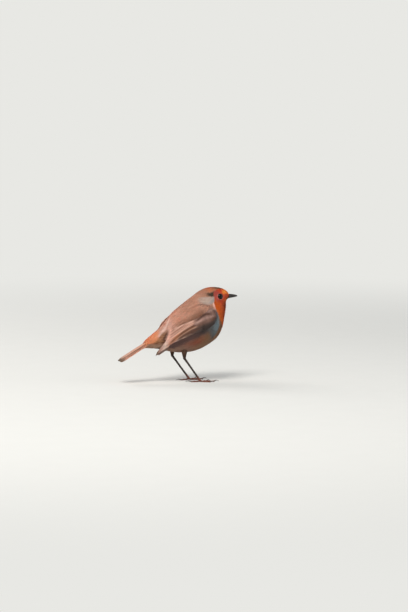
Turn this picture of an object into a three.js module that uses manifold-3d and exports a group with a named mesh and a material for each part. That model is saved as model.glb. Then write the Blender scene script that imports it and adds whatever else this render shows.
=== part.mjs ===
// A European robin standing on its two feet, life size, as a still museum model.
// Millimetres, +X the way the bird faces, +Y its left, +Z up, with the soles of its feet at Z = 0.
// The body is one lofted form, parted into trunk, neck and head by thin cuts. Its wings lie on its sides,
// its tail is a stack of twelve closed feathers, and each toe and claw is a solid of its own.
import * as THREE from "three";
import { ParametricGeometry } from "three/addons/geometries/ParametricGeometry.js";
import { mergeVertices } from "three/addons/utils/BufferGeometryUtils.js";
import Module from "manifold-3d";

const wasm = await Module();
wasm.setup();

const GAP = 0.35; // clear space between two pieces that meet
const SIDES = [
  ["right", -1],
  ["left", 1],
];

// Stations of the body from the ends of the tail coverts to the bill. Each is an upright oval. Its top and
// bottom are [x, z] points of the back and breast lines, and its upper and lower parts have their own half
// widths.
const STATIONS = [
  { at: "covert ends", top: [-31, 43.2], bottom: [-33.6, 33.8], upper: 5.8, lower: 5.4 },
  { at: "rump", top: [-20.3, 51.5], bottom: [-21, 32.5], upper: 9.3, lower: 9.4 },
  { at: "vent", top: [-12.4, 59.4], bottom: [-9.5, 29.8], upper: 13.4, lower: 14.8 },
  { at: "lower back", top: [-6, 67], bottom: [3.2, 28.3], upper: 16.8, lower: 19.6 },
  { at: "belly", top: [1.6, 73.1], bottom: [16.3, 29.8], upper: 18.4, lower: 22.4 },
  { at: "mantle", top: [8.9, 78.6], bottom: [28, 34.7], upper: 17.8, lower: 23 },
  { at: "breast", top: [15, 83], bottom: [37.2, 41.6], upper: 15.2, lower: 22 },
  { at: "nape", top: [20, 86.7], bottom: [42.6, 51.3], upper: 12.2, lower: 19.8 },
  { at: "hind crown", top: [25.4, 89.4], bottom: [45.2, 61.3], upper: 10.3, lower: 15.8 },
  { at: "crown", top: [31.2, 90.8], bottom: [46.3, 69.6], upper: 9.7, lower: 11.6 },
  { at: "eye", top: [37.5, 90.8], bottom: [47.3, 75], upper: 8.9, lower: 9.2 },
  { at: "forecrown", top: [44, 89.5], bottom: [48.5, 77.9], upper: 7.4, lower: 7.2 },
  { at: "forehead", top: [49, 86.7], bottom: [49.6, 78.8], upper: 4.8, lower: 4.7 },
  { at: "bill base", top: [51, 83.6], bottom: [50.3, 79.3], upper: 2.4, lower: 2.5 },
];
const TRUNK_TO_NECK = 7.3; // station numbers of the two cuts
const NECK_TO_HEAD = 8.8;
const BODY_SIDES = 32;

const EYE = { radius: 3.25, x: 39.6, y: 6.75, z: 82.9 };

// Lines of the closed bill in [x, z], from base to tip: its ridge, the gape and its keel.
const CULMEN = [[51.3, 83.4], [53.6, 83.5], [56.5, 83.15], [58.9, 82.55], [60.3, 81.75]];
const GAPE = [[51.3, 81.4], [54, 81.45], [57, 81.5], [59, 81.45], [60.1, 81.25]];
const GONYS = [[51.1, 79.5], [54, 79.8], [56.8, 80.3], [58.5, 80.65], [59.4, 80.9]];
const BILL_HALF_WIDTH = { base: 2.3, tip: 0.22 };

// Lower and upper edges of a folded wing in [x, z], from the bend to the tip of the longest primary.
const WING_LOWER = [
  [33.4, 64.5], [30.2, 57.2], [19.5, 50.8], [9.5, 47], [1, 43.4],
  [-6.8, 38.6], [-13.8, 33.4], [-20.5, 28.2], [-25.6, 25.6],
];
const WING_UPPER = [
  [33.4, 67.5], [29, 74.2], [18.5, 77], [8, 71.6], [-1.8, 63.8],
  [-9.4, 56], [-15.4, 46.6], [-19, 37.6], [-25.9, 26.8],
];
const WING = {
  bendThick: 3.1,
  tipThick: 1.1,
  tipY: 8.6, // how far the tip is from the middle of the bird
  flare: 6, // how much further out than the tip the bend would hang free
  settle: 1.5, // how gently the wing leaves the body
  bluntness: 0.35, // the share of its thickness that the wing has at the very bend
  swell: 9, // how soon it has all of it
};
const WING_POSES = {
  right: { raised: 0, breadth: 1 }, // droops beside the tail
  left: { raised: 8, breadth: 0.86 }, // lies closer, level with the rump
};

const TAIL = { baseX: -10.3, baseZ: 52, fall: 30, length: 58.6, hidden: 22 };
const RECTRIX = { pairs: 6, width: 7.8, narrow: 0.62, thick: 0.7 };
const STACK = { drop: 0.38, spread: 0.12, fan: 0.62, notch: 0.35 }; // how each pair of tail feathers is set

const LEGS = {
  right: { knee: [3.2, -11, 37], ankle: [2.9, -10.2, 23.5], foot: [18.2, -11.2, 1.65], heading: -4 },
  left: { knee: [-3.4, 10.6, 37.5], ankle: [-3.2, 10, 24.3], foot: [13.2, 8.4, 1.65], heading: 6 },
};
const THIGH = { knee: 4.6, ankle: 1.15 };
const TARSUS = { ankle: 1.35, shaft: 0.82, foot: 1.25 };

// Toes by their usual numbers: length without claw, claw length, and the way they point on the right foot.
const TOES = [
  { number: 1, length: 8.6, claw: 5.6, turn: 176, radius: 0.8 },
  { number: 2, length: 9.8, claw: 3.8, turn: 31, radius: 0.72 },
  { number: 3, length: 14.6, claw: 4.4, turn: 0, radius: 0.78 },
  { number: 4, length: 10.8, claw: 3.7, turn: -33, radius: 0.7 },
];

const COLOURS = {
  brown: { color: 0x8a6650, roughness: 0.9 },
  orange: { color: 0xc8642c, roughness: 0.9 },
  wing: { color: 0x7a5b48, roughness: 0.8 },
  leg: { color: 0x5a3a2c, roughness: 0.55 },
  horn: { color: 0x2b2320, roughness: 0.4 },
  eye: { color: 0x0c0806, roughness: 0.08 },
};

const { lerp, clamp, degToRad, smoothstep } = THREE.MathUtils;
const bird = new THREE.Group();

/** A smooth curve through points of two or three numbers, read by a share from 0 to 1. */
function through(points) {
  const vectors = points.map(([a, b, c = 0]) => new THREE.Vector3(a, b, c));
  return new THREE.CatmullRomCurve3(vectors, false, "catmullrom", 0.5);
}

/** A closed solid from a three.js geometry that has no gaps. */
function solid(geometry) {
  geometry.deleteAttribute("normal");
  geometry.deleteAttribute("uv");
  const merged = mergeVertices(geometry, 1e-4);
  const corners = merged.index.array;
  const kept = [];
  for (let i = 0; i < corners.length; i += 3) {
    const [a, b, c] = corners.slice(i, i + 3);
    if (a !== b && b !== c && c !== a) kept.push(a, b, c);
  }
  const mesh = new wasm.Mesh({
    numProp: 3,
    vertProperties: merged.attributes.position.array,
    triVerts: new Uint32Array(kept),
  });
  return new wasm.Manifold(mesh);
}

/** A lofted solid: section(share, angle) gives a point of each ring. Each end is closed at its middle. */
function loft(section, rings, sides) {
  const stacks = rings + 1;
  const surface = (turn, along, target) => {
    const ring = Math.round(along * stacks);
    const share = clamp((ring - 1) / (rings - 1), 0, 1);
    const angle = (Math.round(turn * sides) % sides) * ((2 * Math.PI) / sides);
    target.copy(section(share, angle));
    if (ring === 0 || ring === stacks) {
      target.copy(section(share, Math.PI / 2)).lerp(section(share, 1.5 * Math.PI), 0.5);
    }
  };
  return solid(new ParametricGeometry(surface, sides, stacks));
}

/** Adds a solid to the bird as a named mesh. */
function add(name, made, { color, roughness }) {
  const { numProp, numVert, vertProperties, triVerts } = made.getMesh();
  const positions = new Float32Array(numVert * 3);
  for (let i = 0; i < numVert; i++) {
    positions.set(vertProperties.subarray(i * numProp, i * numProp + 3), i * 3);
  }
  const geometry = new THREE.BufferGeometry()
    .setAttribute("position", new THREE.BufferAttribute(positions, 3))
    .setIndex(new THREE.BufferAttribute(triVerts, 1));
  geometry.computeVertexNormals();
  const mesh = new THREE.Mesh(geometry, new THREE.MeshStandardMaterial({ color, roughness, metalness: 0 }));
  mesh.name = name;
  bird.add(mesh);
}

// Body

const tops = through(STATIONS.map((s) => s.top));
const bottoms = through(STATIONS.map((s) => s.bottom));
const widths = through(STATIONS.map((s) => [s.upper, s.lower]));
const LAST = STATIONS.length - 1;

/** The oval of the body at a station number: its top, its bottom, and its half width some share down. */
function oval(station) {
  const share = station / LAST;
  const width = widths.getPoint(share);
  return {
    top: tops.getPoint(share),
    bottom: bottoms.getPoint(share),
    half: (down) => lerp(width.x, width.y, smoothstep(down, 0, 1)),
  };
}

/** A point of the body's surface, swollen by some millimetres. Angle 0 is its back, and a quarter turn left. */
function bodyPoint(station, angle, swell = 0) {
  const { top, bottom, half } = oval(station);
  const down = (1 - Math.cos(angle)) / 2;
  const depth = top.distanceTo(bottom);
  const [x, z] = [lerp(top.x, bottom.x, down), lerp(top.y, bottom.y, down)];
  const outward = (-Math.cos(angle) * swell) / depth;
  const side = (half(down) + swell) * Math.sin(angle);
  return new THREE.Vector3(x + (bottom.x - top.x) * outward, side, z + (bottom.y - top.y) * outward);
}

/** The body's half width at a place seen from the side, or 0 where the place lies off the body. */
function halfWidthAt(x, z) {
  const place = new THREE.Vector3(x, z, 0);
  const ahead = (station) => {
    const { top, bottom } = oval(station);
    const down = bottom.sub(top);
    const off = place.clone().sub(top);
    return { side: down.x * off.y - down.y * off.x, share: down.dot(off) / down.lengthSq() };
  };
  if (ahead(0).side < 0) return 0;
  let [low, high] = [0, LAST];
  for (let i = 0; i < 30; i++) {
    const middle = (low + high) / 2;
    if (ahead(middle).side > 0) low = middle;
    else high = middle;
  }
  const { share } = ahead(low);
  if (share <= 0 || share >= 1) return 0;
  return oval(low).half(share) * 2 * Math.sqrt(share * (1 - share));
}

/** The body between two station numbers as a closed solid. */
function bodyPart(from, to, rings, swell = 0) {
  return loft((share, angle) => bodyPoint(lerp(from, to, share), -angle, swell), rings, BODY_SIDES);
}

const stationGap = GAP / 5; // stations are 5 mm or more apart where the cuts are
add("trunk", bodyPart(0, TRUNK_TO_NECK, 18), COLOURS.brown);
add("neck", bodyPart(TRUNK_TO_NECK + stationGap, NECK_TO_HEAD, 5), COLOURS.orange);

/** A ball, made of triangles small enough for an eye. */
function ball(radius, x, y, z) {
  return solid(new THREE.SphereGeometry(radius, 14, 10).translate(x, y, z));
}

let head = bodyPart(NECK_TO_HEAD + stationGap, LAST, 12);
for (const [side, hand] of SIDES) {
  head = head.subtract(ball(EYE.radius + GAP, EYE.x, hand * EYE.y, EYE.z));
  add(`eye_${side}`, ball(EYE.radius, EYE.x, hand * EYE.y, EYE.z), COLOURS.eye);
}
add("head", head, COLOURS.orange);

// Bill

/** One half of the bill, from its outer line to the gape. Side is 1 for the upper half, -1 for the lower. */
function mandible(outer, side) {
  const outerLine = through(outer);
  const gapeLine = through(GAPE);
  return loft(
    (share, angle) => {
      const rim = outerLine.getPoint(share);
      const gape = gapeLine.getPoint(share);
      const half = lerp(BILL_HALF_WIDTH.tip, BILL_HALF_WIDTH.base, (1 - share) ** 0.8);
      const rise = Math.max(Math.sin(angle), 0);
      const z = lerp(gape.y + (side * GAP) / 2, rim.y, rise);
      return new THREE.Vector3(lerp(gape.x, rim.x, rise), side * half * Math.cos(angle), z);
    },
    8,
    14,
  );
}

add("bill_upper", mandible(CULMEN, 1), COLOURS.horn);
add("bill_lower", mandible(GONYS, -1), COLOURS.horn);

// Wings

const wingLower = through(WING_LOWER);
const wingUpper = through(WING_UPPER);

/**
 * A folded wing on the right side, which lies on the body at its inner face and hangs free of it towards
 * the tip. It is raised by some degrees about its bend, and folded to a share of its full breadth.
 */
function foldedWing({ raised, breadth }) {
  const bend = wingLower.getPoint(0).lerp(wingUpper.getPoint(0), 0.5);
  const axis = new THREE.Vector3(0, 0, 1);
  return loft(
    (share, angle) => {
      const across = ((1 - Math.cos(angle)) / 2) * breadth;
      const place = wingLower.getPoint(share).lerp(wingUpper.getPoint(share), across);
      place.sub(bend).applyAxisAngle(axis, degToRad(-raised)).add(bend);
      const free = WING.tipY + WING.flare * (1 - share);
      const onBody = halfWidthAt(place.x, place.y) + GAP;
      const inner = (onBody + free + Math.hypot(onBody - free, WING.settle)) / 2;
      const round = Math.min(1, WING.bluntness + WING.swell * share) * Math.max(Math.sin(angle), 0) ** 0.6;
      const thick = lerp(WING.bendThick, WING.tipThick, share ** 0.7) * round;
      return new THREE.Vector3(place.x, -inner - thick, place.y);
    },
    24,
    18,
  );
}

// Tail

/** One closed tail feather, in its own plane: X towards its tip, Y across, Z its thickness. */
function rectrix(halfWidth) {
  const { length, hidden } = TAIL;
  const outline = new THREE.Shape();
  outline.moveTo(hidden, -halfWidth * RECTRIX.narrow);
  outline.lineTo(length * 0.7, -halfWidth);
  outline.lineTo(length * 0.9, -halfWidth);
  outline.quadraticCurveTo(length * 0.97, -halfWidth * 0.95, length, 0);
  outline.quadraticCurveTo(length * 0.97, halfWidth * 0.95, length * 0.9, halfWidth);
  outline.lineTo(length * 0.7, halfWidth);
  outline.lineTo(hidden, halfWidth * RECTRIX.narrow);
  const options = { depth: RECTRIX.thick, bevelEnabled: false, curveSegments: 3 };
  return new THREE.ExtrudeGeometry(outline, options);
}

/** The closed tail: pairs of feathers, the middle pair on top and each next one lower and further out. */
function tail() {
  const { pairs, width } = RECTRIX;
  const { drop, spread, fan, notch } = STACK;
  const feathers = [];
  for (let pair = 0; pair < pairs; pair++) {
    for (const hand of [-1, 1]) {
      const back = -notch * Math.abs(pair - pairs / 2 + 0.5);
      const down = -drop * (pair + (hand > 0 ? 0.5 : 0));
      const feather = rectrix(width / 2)
        .translate(back, hand * spread * (pair + 0.7), down)
        .rotateZ(hand * degToRad(fan) * (pair + 0.3))
        .rotateZ(Math.PI)
        .rotateY(degToRad(-TAIL.fall))
        .translate(TAIL.baseX, 0, TAIL.baseZ);
      feathers.push(solid(feather));
    }
  }
  const coverts = bodyPart(0, 3, 9, GAP).translate([-GAP, 0, 0]);
  return feathers.reduce((made, feather) => made.add(feather)).subtract(coverts);
}

// Legs

/** A tapered limb along a curve, with a radius for each share of it, cut flat where it meets the ground. */
function limb(path, radius, rings, sides) {
  const across = new THREE.Vector3();
  const up = new THREE.Vector3();
  return loft(
    (share, angle) => {
      const tangent = path.getTangent(share);
      across.crossVectors(new THREE.Vector3(0, 0, 1), tangent);
      if (across.lengthSq() < 1e-6) across.set(0, 1, 0);
      across.normalize();
      up.crossVectors(tangent, across).normalize();
      const point = path.getPoint(share);
      const turn = angle + Math.PI / sides;
      point.addScaledVector(across, Math.cos(turn) * radius(share));
      point.addScaledVector(up, Math.sin(turn) * radius(share));
      point.z = Math.max(point.z, 0);
      return point;
    },
    rings,
    sides,
  );
}

/** The path of a toe or claw, as [distance from the foot, height] points turned to point its way. */
function groundPath([footX, footY], turn, points) {
  const [cos, sin] = [Math.cos(degToRad(turn)), Math.sin(degToRad(turn))];
  return through(points.map(([far, height]) => [footX + far * cos, footY + far * sin, height]));
}

/** The largest separate body of a solid, without the slivers that a cut can leave. */
function largest(made) {
  return made.decompose().reduce((best, body) => (body.volume() > best.volume() ? body : best));
}

/** The shank: a slim tube that widens to a round knob at the ankle and to another over the foot. */
function shankOf(ankle, foot, swell = 0) {
  const rings = 11;
  const [top, sole] = [new THREE.Vector3(...ankle), new THREE.Vector3(...foot)];
  const along = sole.clone().sub(top).normalize();
  top.addScaledVector(along, -TARSUS.ankle - swell);
  sole.addScaledVector(along, TARSUS.foot + swell);
  const length = top.distanceTo(sole);
  const eased = (share) => (1 - Math.cos(share * Math.PI)) / 2; // rings lie closer together at the knobs
  const places = Array.from({ length: rings }, (_, i) => top.clone().lerp(sole, eased(i / (rings - 1))));
  const radius = (share) => {
    const far = eased(share);
    const knobs = (TARSUS.ankle - TARSUS.shaft) * (1 - far) ** 6 + (TARSUS.foot - TARSUS.shaft) * far ** 7;
    const thick = TARSUS.shaft + knobs + swell;
    const end = clamp((Math.min(far, 1 - far) * length) / thick, 0, 1);
    return thick * lerp(0.4, 1, Math.sqrt(1 - (1 - end) ** 2));
  };
  return limb(through(places.map((place) => place.toArray())), radius, rings, 10);
}

/** A toe that points some degrees from the bird's heading, with a pad at each joint. */
function toeOf(foot, heading, { length, radius }, swell = 0) {
  const path = groundPath(foot, heading, [
    [0.4, 1.3], [2.4, 0.7], [length * 0.4, 0.5], [length * 0.6, 0.72], [length * 0.78, 0.42], [length, 0.5],
  ]);
  const padded = (share) => radius * (1 - 0.28 * share) * (1 + 0.1 * Math.cos(share * 6 * Math.PI));
  return limb(path, (share) => padded(share) + swell, 10, 8);
}

/** The claw at the end of a toe: a cone bent like a hook, which touches the ground with its point. */
function clawOf(foot, heading, { length, claw }) {
  const from = length + GAP;
  const path = groundPath(foot, heading, [
    [from, 0.72], [from + claw * 0.4, 1.3], [from + claw * 0.75, 1.05], [from + claw, 0.18],
  ]);
  return limb(path, (share) => lerp(0.52, 0.14, share), 5, 6);
}

/** The feathered thigh, shank, toes and claws of one side. */
function leg(side, hand) {
  const { knee, ankle, foot, heading } = LEGS[side];
  const shankMould = shankOf(ankle, foot, GAP);
  const thigh = limb(through([knee, ankle]), (share) => lerp(THIGH.knee, THIGH.ankle, share), 8, 16);
  add(`thigh_${side}`, largest(thigh.subtract(trunkMould).subtract(shankMould)), COLOURS.brown);
  add(`shank_${side}`, shankOf(ankle, foot), COLOURS.leg);
  const middleToe = TOES[2];
  const middleMould = toeOf(foot, heading, middleToe, GAP);
  for (const toe of TOES) {
    const towards = heading - hand * toe.turn;
    const whole = toeOf(foot, towards, toe).subtract(shankMould);
    const clear = toe === middleToe ? whole : whole.subtract(middleMould);
    add(`toe_${side}_${toe.number}`, largest(clear), COLOURS.leg);
    add(`claw_${side}_${toe.number}`, clawOf(foot, towards, toe), COLOURS.horn);
  }
}

const trunkMould = bodyPart(0, TRUNK_TO_NECK + 1, 22, GAP);
for (const [side, hand] of SIDES) leg(side, hand);
add("wing_right", foldedWing(WING_POSES.right), COLOURS.wing);
add("wing_left", foldedWing(WING_POSES.left).mirror([0, 1, 0]), COLOURS.wing);
add("tail", tail(), COLOURS.wing);

export default bird;
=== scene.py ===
"""A life-size European robin that stands still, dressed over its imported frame.

Lengths in the shape tables are in millimetres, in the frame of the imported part: X towards the bill,
Y to the bird's left, Z up, and the floor at zero. They become metres as each mesh is made.

Four numbers place things on the bird. A station runs along the body from the ends of the tail's
coverts (0) to the base of the bill (13). A turn runs round it from the middle of the back, positive
to the left. On a folded wing, reach runs from the bend (0) to the tip (1) and rise from its lower
edge (0) to its upper one (1).
"""

import logging
import math
from dataclasses import dataclass, field
from enum import Enum
from typing import Any, Iterator, Sequence

import bpy
import numpy as np
from mathutils import Matrix, Vector
from numpy.typing import NDArray

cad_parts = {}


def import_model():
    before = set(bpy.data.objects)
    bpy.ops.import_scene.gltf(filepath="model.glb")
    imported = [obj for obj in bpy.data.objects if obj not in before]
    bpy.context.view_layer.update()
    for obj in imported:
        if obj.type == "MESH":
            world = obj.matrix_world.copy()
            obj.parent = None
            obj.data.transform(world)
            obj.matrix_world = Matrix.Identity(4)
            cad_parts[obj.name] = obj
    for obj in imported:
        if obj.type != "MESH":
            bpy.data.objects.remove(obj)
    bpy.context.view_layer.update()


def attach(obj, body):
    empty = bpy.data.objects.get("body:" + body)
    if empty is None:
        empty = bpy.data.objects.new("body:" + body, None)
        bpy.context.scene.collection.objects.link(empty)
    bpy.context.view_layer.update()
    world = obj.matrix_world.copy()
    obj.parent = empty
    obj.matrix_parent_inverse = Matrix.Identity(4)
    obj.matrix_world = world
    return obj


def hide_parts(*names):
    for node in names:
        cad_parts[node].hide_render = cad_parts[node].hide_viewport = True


Array = NDArray[np.float64]
Table = tuple[tuple[float, ...], tuple[float, ...]]
Cell = tuple[float, float, float, float]  # the corner and size of a patch of the baking map
MM = 0.001
TURN = 2 * math.pi
BODY = "root"
LOG = logging.getLogger("robin")


class Side(Enum):
    """A side of the bird, with the sign of its Y."""

    RIGHT = -1
    LEFT = 1

    @property
    def word(self) -> str:
        """The side's name, as the frame spells it."""
        return self.name.lower()


class Slot(Enum):
    """The frame's material slots."""

    BODY = "body_plumage"
    FLIGHT = "flight_feathers"
    BILL = "bill_horn"
    CLAW = "claw_horn"
    LEG = "leg_skin"
    EYE = "eye_gloss"


# Numbers and curves

SCATTER_STEPS = (0.7548776662466927, 0.5698402909980532)


def srgb(red: float, green: float, blue: float) -> Array:
    """A colour given as 0 to 255 on a screen, as linear light."""
    share = np.array([red, green, blue]) / 255
    return np.where(share <= 0.04045, share / 12.92, ((share + 0.055) / 1.055) ** 2.4)


def held(value: Array) -> Any:
    """An array as a field's value where nothing else is said."""
    return field(default_factory=lambda: value)


def ease(low: float, high: float, value: Array | float) -> Array:
    """A smooth step: 3t squared less 2t cubed, with t the share of the way.

    Args:
        low: Where it is 0.
        high: Where it is 1.
        value: The values.

    Returns:
        The step at each.
    """
    share = np.clip((np.asarray(value, float) - low) / (high - low), 0, 1)
    return share * share * (3 - 2 * share)


def lerp(first: Array | float, last: Array | float, share: Array | float) -> Array:
    """The value that lies a share of the way from the first to the last."""
    return first + (last - first) * share


def unit(vectors: Array) -> Array:
    """Vectors made one long."""
    return vectors / np.maximum(np.linalg.norm(vectors, axis=-1, keepdims=True), 1e-12)


def bell(value: Array) -> Array:
    """E to the minus square of a value: 1 at 0, and next to nothing past 2."""
    return np.exp(-(value**2))


def rounded(value: Array) -> Array:
    """A quarter circle from 0 at 0 to 1 at 1 and on: the root of 1 less (1 - value) squared."""
    return np.sqrt(1 - (1 - np.clip(value, 0, 1)) ** 2)


def scattered(count: int) -> Iterator[Array]:
    """Even but unordered places in a unit square: multiples of two steps, less whole numbers."""
    return ((0.5 + np.arange(count) * step) % 1 for step in SCATTER_STEPS)


def spline(knots: Array, place: Array | float) -> Array:
    """A smooth curve through evenly numbered knots.

    Each knot's slope is half the step between its neighbours, a cubic joins two knots, and past the
    last ones the curve goes on straight.

    Args:
        knots: One row per knot.
        place: Knot numbers, of any shape, whole or not.

    Returns:
        The curve's values, with the shape of place and one more axis.
    """
    knots = np.asarray(knots, float)
    padded = np.vstack([2 * knots[0] - knots[1], knots, 2 * knots[-1] - knots[-2]])
    slopes = (padded[2:] - padded[:-2]) / 2
    place = np.asarray(place, float)
    start = np.clip(np.floor(place), 0, len(knots) - 2).astype(int)
    share = (place - start)[..., None]
    t = np.clip(share, 0, 1)
    a, b, m, n = knots[start], knots[start + 1], slopes[start], slopes[start + 1]
    cubic = (2 * t**3 - 3 * t**2 + 1) * a + (t**3 - 2 * t**2 + t) * m
    cubic = cubic + (3 * t**2 - 2 * t**3) * b + (t**3 - t**2) * n
    past = share - t
    return cubic + past * np.where(past < 0, m, n)


# Meshes


def sheet(rows: int, columns: int, closed: bool = False) -> tuple[NDArray[np.int64], Array]:
    """Quads over rows of points, each of which runs round and closes.

    Args:
        rows: The number of rows.
        columns: The number of points in a row.
        closed: Whether the last row joins the first.

    Returns:
        The quads, and the row and column of each of their corners, which run on past the last.
    """
    i, j = np.meshgrid(np.arange(rows if closed else rows - 1), np.arange(columns), indexing="ij")
    i, j = i.ravel(), j.ravel()
    corner = np.stack([[i, j], [i, j + 1], [i + 1, j + 1], [i + 1, j]]).transpose(2, 0, 1)
    return corner[..., 0] % rows * columns + corner[..., 1] % columns, corner


@dataclass
class Shell:
    """The points and faces of a mesh, with what its points carry.

    Attributes:
        points: Places in millimetres, one row each.
        faces: Arrays of point numbers, one row per face, each array of one face size.
        charts: For each array of faces, the corners' places on the baking map.
        carried: Named values of the points: one number each, or a colour.
        smooth: For each array of faces, whether it is shaded smooth.
    """

    points: Array
    faces: list[NDArray[np.int64]]
    charts: list[Array]
    carried: dict[str, Array] = field(default_factory=dict)
    smooth: list[bool] = field(default_factory=list)

    def __post_init__(self) -> None:
        """Shades every face smooth where nothing else is said."""
        self.smooth = self.smooth or [True] * len(self.faces)

    @staticmethod
    def joined(shells: Sequence["Shell"]) -> "Shell":
        """Several shells as one, with their point numbers carried on.

        Args:
            shells: The shells, which carry the same values.

        Returns:
            One shell.
        """
        starts = np.cumsum([0] + [len(shell.points) for shell in shells])
        return Shell(
            np.concatenate([shell.points for shell in shells]),
            [f + start for shell, start in zip(shells, starts) for f in shell.faces],
            [chart for shell in shells for chart in shell.charts],
            {k: np.concatenate([s.carried[k] for s in shells]) for k in shells[0].carried},
            [smooth for shell in shells for smooth in shell.smooth],
        )

    def outward(self) -> "Shell":
        """Turns all faces over if they point inwards.

        Six times the volume is the sum over all triangles of a times the cross product of b and c,
        and its sign tells.

        Returns:
            The same shell.
        """
        volume = 0.0
        for faces in self.faces:
            corner = self.points[faces]
            for i in range(1, faces.shape[1] - 1):
                wedge = np.cross(corner[:, i], corner[:, i + 1])
                volume += float(np.sum(corner[:, 0] * wedge))
        if volume < 0:
            self.faces = [faces[:, ::-1] for faces in self.faces]
            self.charts = [chart[:, ::-1] for chart in self.charts]
        return self

    def mirrored(self) -> "Shell":
        """The shell on the bird's other side, with its faces turned to stay outwards.

        Returns:
            A new shell.
        """
        return Shell(
            self.points * [1, -1, 1],
            [faces[:, ::-1] for faces in self.faces],
            [chart[:, ::-1] for chart in self.charts],
            self.carried,
            self.smooth,
        )

    def piece(self, name: str, finish: "Finish", slot: Slot, nodes: Sequence[str] = ()) -> None:
        """Makes the shell a piece of the model that rides on the body.

        Args:
            name: The piece's name.
            finish: What dresses it.
            slot: The frame's material slot; not used.
            nodes: The frame's nodes that it stands for.
        """
        mesh = bpy.data.meshes.new(name)
        mesh.vertices.add(len(self.points))
        mesh.vertices.foreach_set("co", (self.points * MM).astype(np.float32).ravel())
        corners = np.concatenate([faces.ravel() for faces in self.faces])
        sizes = np.concatenate([np.full(len(faces), faces.shape[1]) for faces in self.faces])
        mesh.loops.add(len(corners))
        mesh.loops.foreach_set("vertex_index", corners.astype(np.int32))
        mesh.polygons.add(len(sizes))
        mesh.polygons.foreach_set("loop_start", (np.cumsum(sizes) - sizes).astype(np.int32))
        smooth = np.repeat(self.smooth, [len(faces) for faces in self.faces])
        mesh.polygons.foreach_set("use_smooth", smooth)
        chart = np.concatenate([chart.reshape(-1, 2) for chart in self.charts])
        mesh.uv_layers.new(name="OFBake").data.foreach_set("uv", chart.astype(np.float32).ravel())
        for word, value in self.carried.items():
            kind, key = "FLOAT", "value"
            if value.ndim == 2:
                kind, key = "FLOAT_COLOR", "color"
                value = np.concatenate([value, np.ones((len(value), 1))], axis=1)
            layer = mesh.attributes.new(word, kind, "POINT")
            layer.data.foreach_set(key, value.astype(np.float32).ravel())
        mesh.update(calc_edges=True)
        mesh.materials.append(finish.material())
        made = bpy.data.objects.new(name, mesh)
        bpy.context.scene.collection.objects.link(made)
        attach(made, BODY)
        if nodes:
            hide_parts(*nodes)
        LOG.info("%s: %d triangles", name, np.sum(sizes - 2))


def tube(rings: Array, cell: Cell = (0, 0, 1, 1), **carried: Array) -> Shell:
    """A closed skin over rings of points, with a pole at the mean of each end ring.

    Args:
        rings: Points by ring, by place round the ring, by axis.
        cell: Its patch of the baking map.
        **carried: Values by ring and place round the ring.

    Returns:
        The shell, with its faces outwards.
    """
    count, sides = rings.shape[:2]
    quads, corner = sheet(count, sides)
    left, low, wide, tall = cell
    quad_chart = [left, low] + np.array([wide, tall]) * corner[..., ::-1] / [sides, count - 1]
    j = np.arange(sides)
    k = (j + 1) % sides
    first, top = count * sides, (count - 1) * sides
    ends = np.concatenate([
        np.stack([np.full(sides, first), k, j], 1),
        np.stack([np.full(sides, first + 1), top + j, top + k], 1),
    ])
    x = left + wide * np.array([j + 0.5, j + 1, j]) / sides
    end_chart = np.concatenate([
        np.stack([x, np.full_like(x, low)], 2).transpose(1, 0, 2),
        np.stack([x[[0, 2, 1]], np.full_like(x, low + tall)], 2).transpose(1, 0, 2),
    ])

    def flat(values: Array) -> Array:
        """One row per point, with the two poles last.

        Args:
            values: Values by ring and place round it, or one for all.

        Returns:
            The rows.
        """
        values = np.broadcast_to(values, (count, sides) + np.shape(values)[2:])
        poles = np.stack([values[0].mean(0), values[-1].mean(0)])
        return np.concatenate([values.reshape((-1,) + values.shape[2:]), poles])

    values = {name: flat(np.asarray(given, float)) for name, given in carried.items()}
    return Shell(flat(rings), [quads, ends], [quad_chart, end_chart], values).outward()


def limb(path: Array, radius: Array) -> Array:
    """Rings of a limb: circles of the given radius square to a path, kept above the floor.

    Args:
        path: The middle line's points.
        radius: A radius for each of them and each place round it.

    Returns:
        Points by ring and by place round the ring.
    """
    tangent = unit(np.gradient(path, axis=0))
    across = np.cross([0.0, 0.0, 1.0], tangent)
    upright = np.linalg.norm(across, axis=1, keepdims=True) < 1e-4
    across = unit(np.where(upright, [0.0, 1.0, 0.0], across))
    up = np.cross(tangent, across)
    angle = around(radius.shape[1])
    rings = path[:, None] + across[:, None] * (np.cos(angle) * radius)[..., None]
    rings = rings + up[:, None] * (np.sin(angle) * radius)[..., None]
    rings[..., 2] = np.maximum(rings[..., 2], 0)
    return rings


def around(sides: int) -> Array:
    """Angles of the places round a limb."""
    return TURN * (np.arange(sides) + 0.5) / sides


# Shaders


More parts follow.
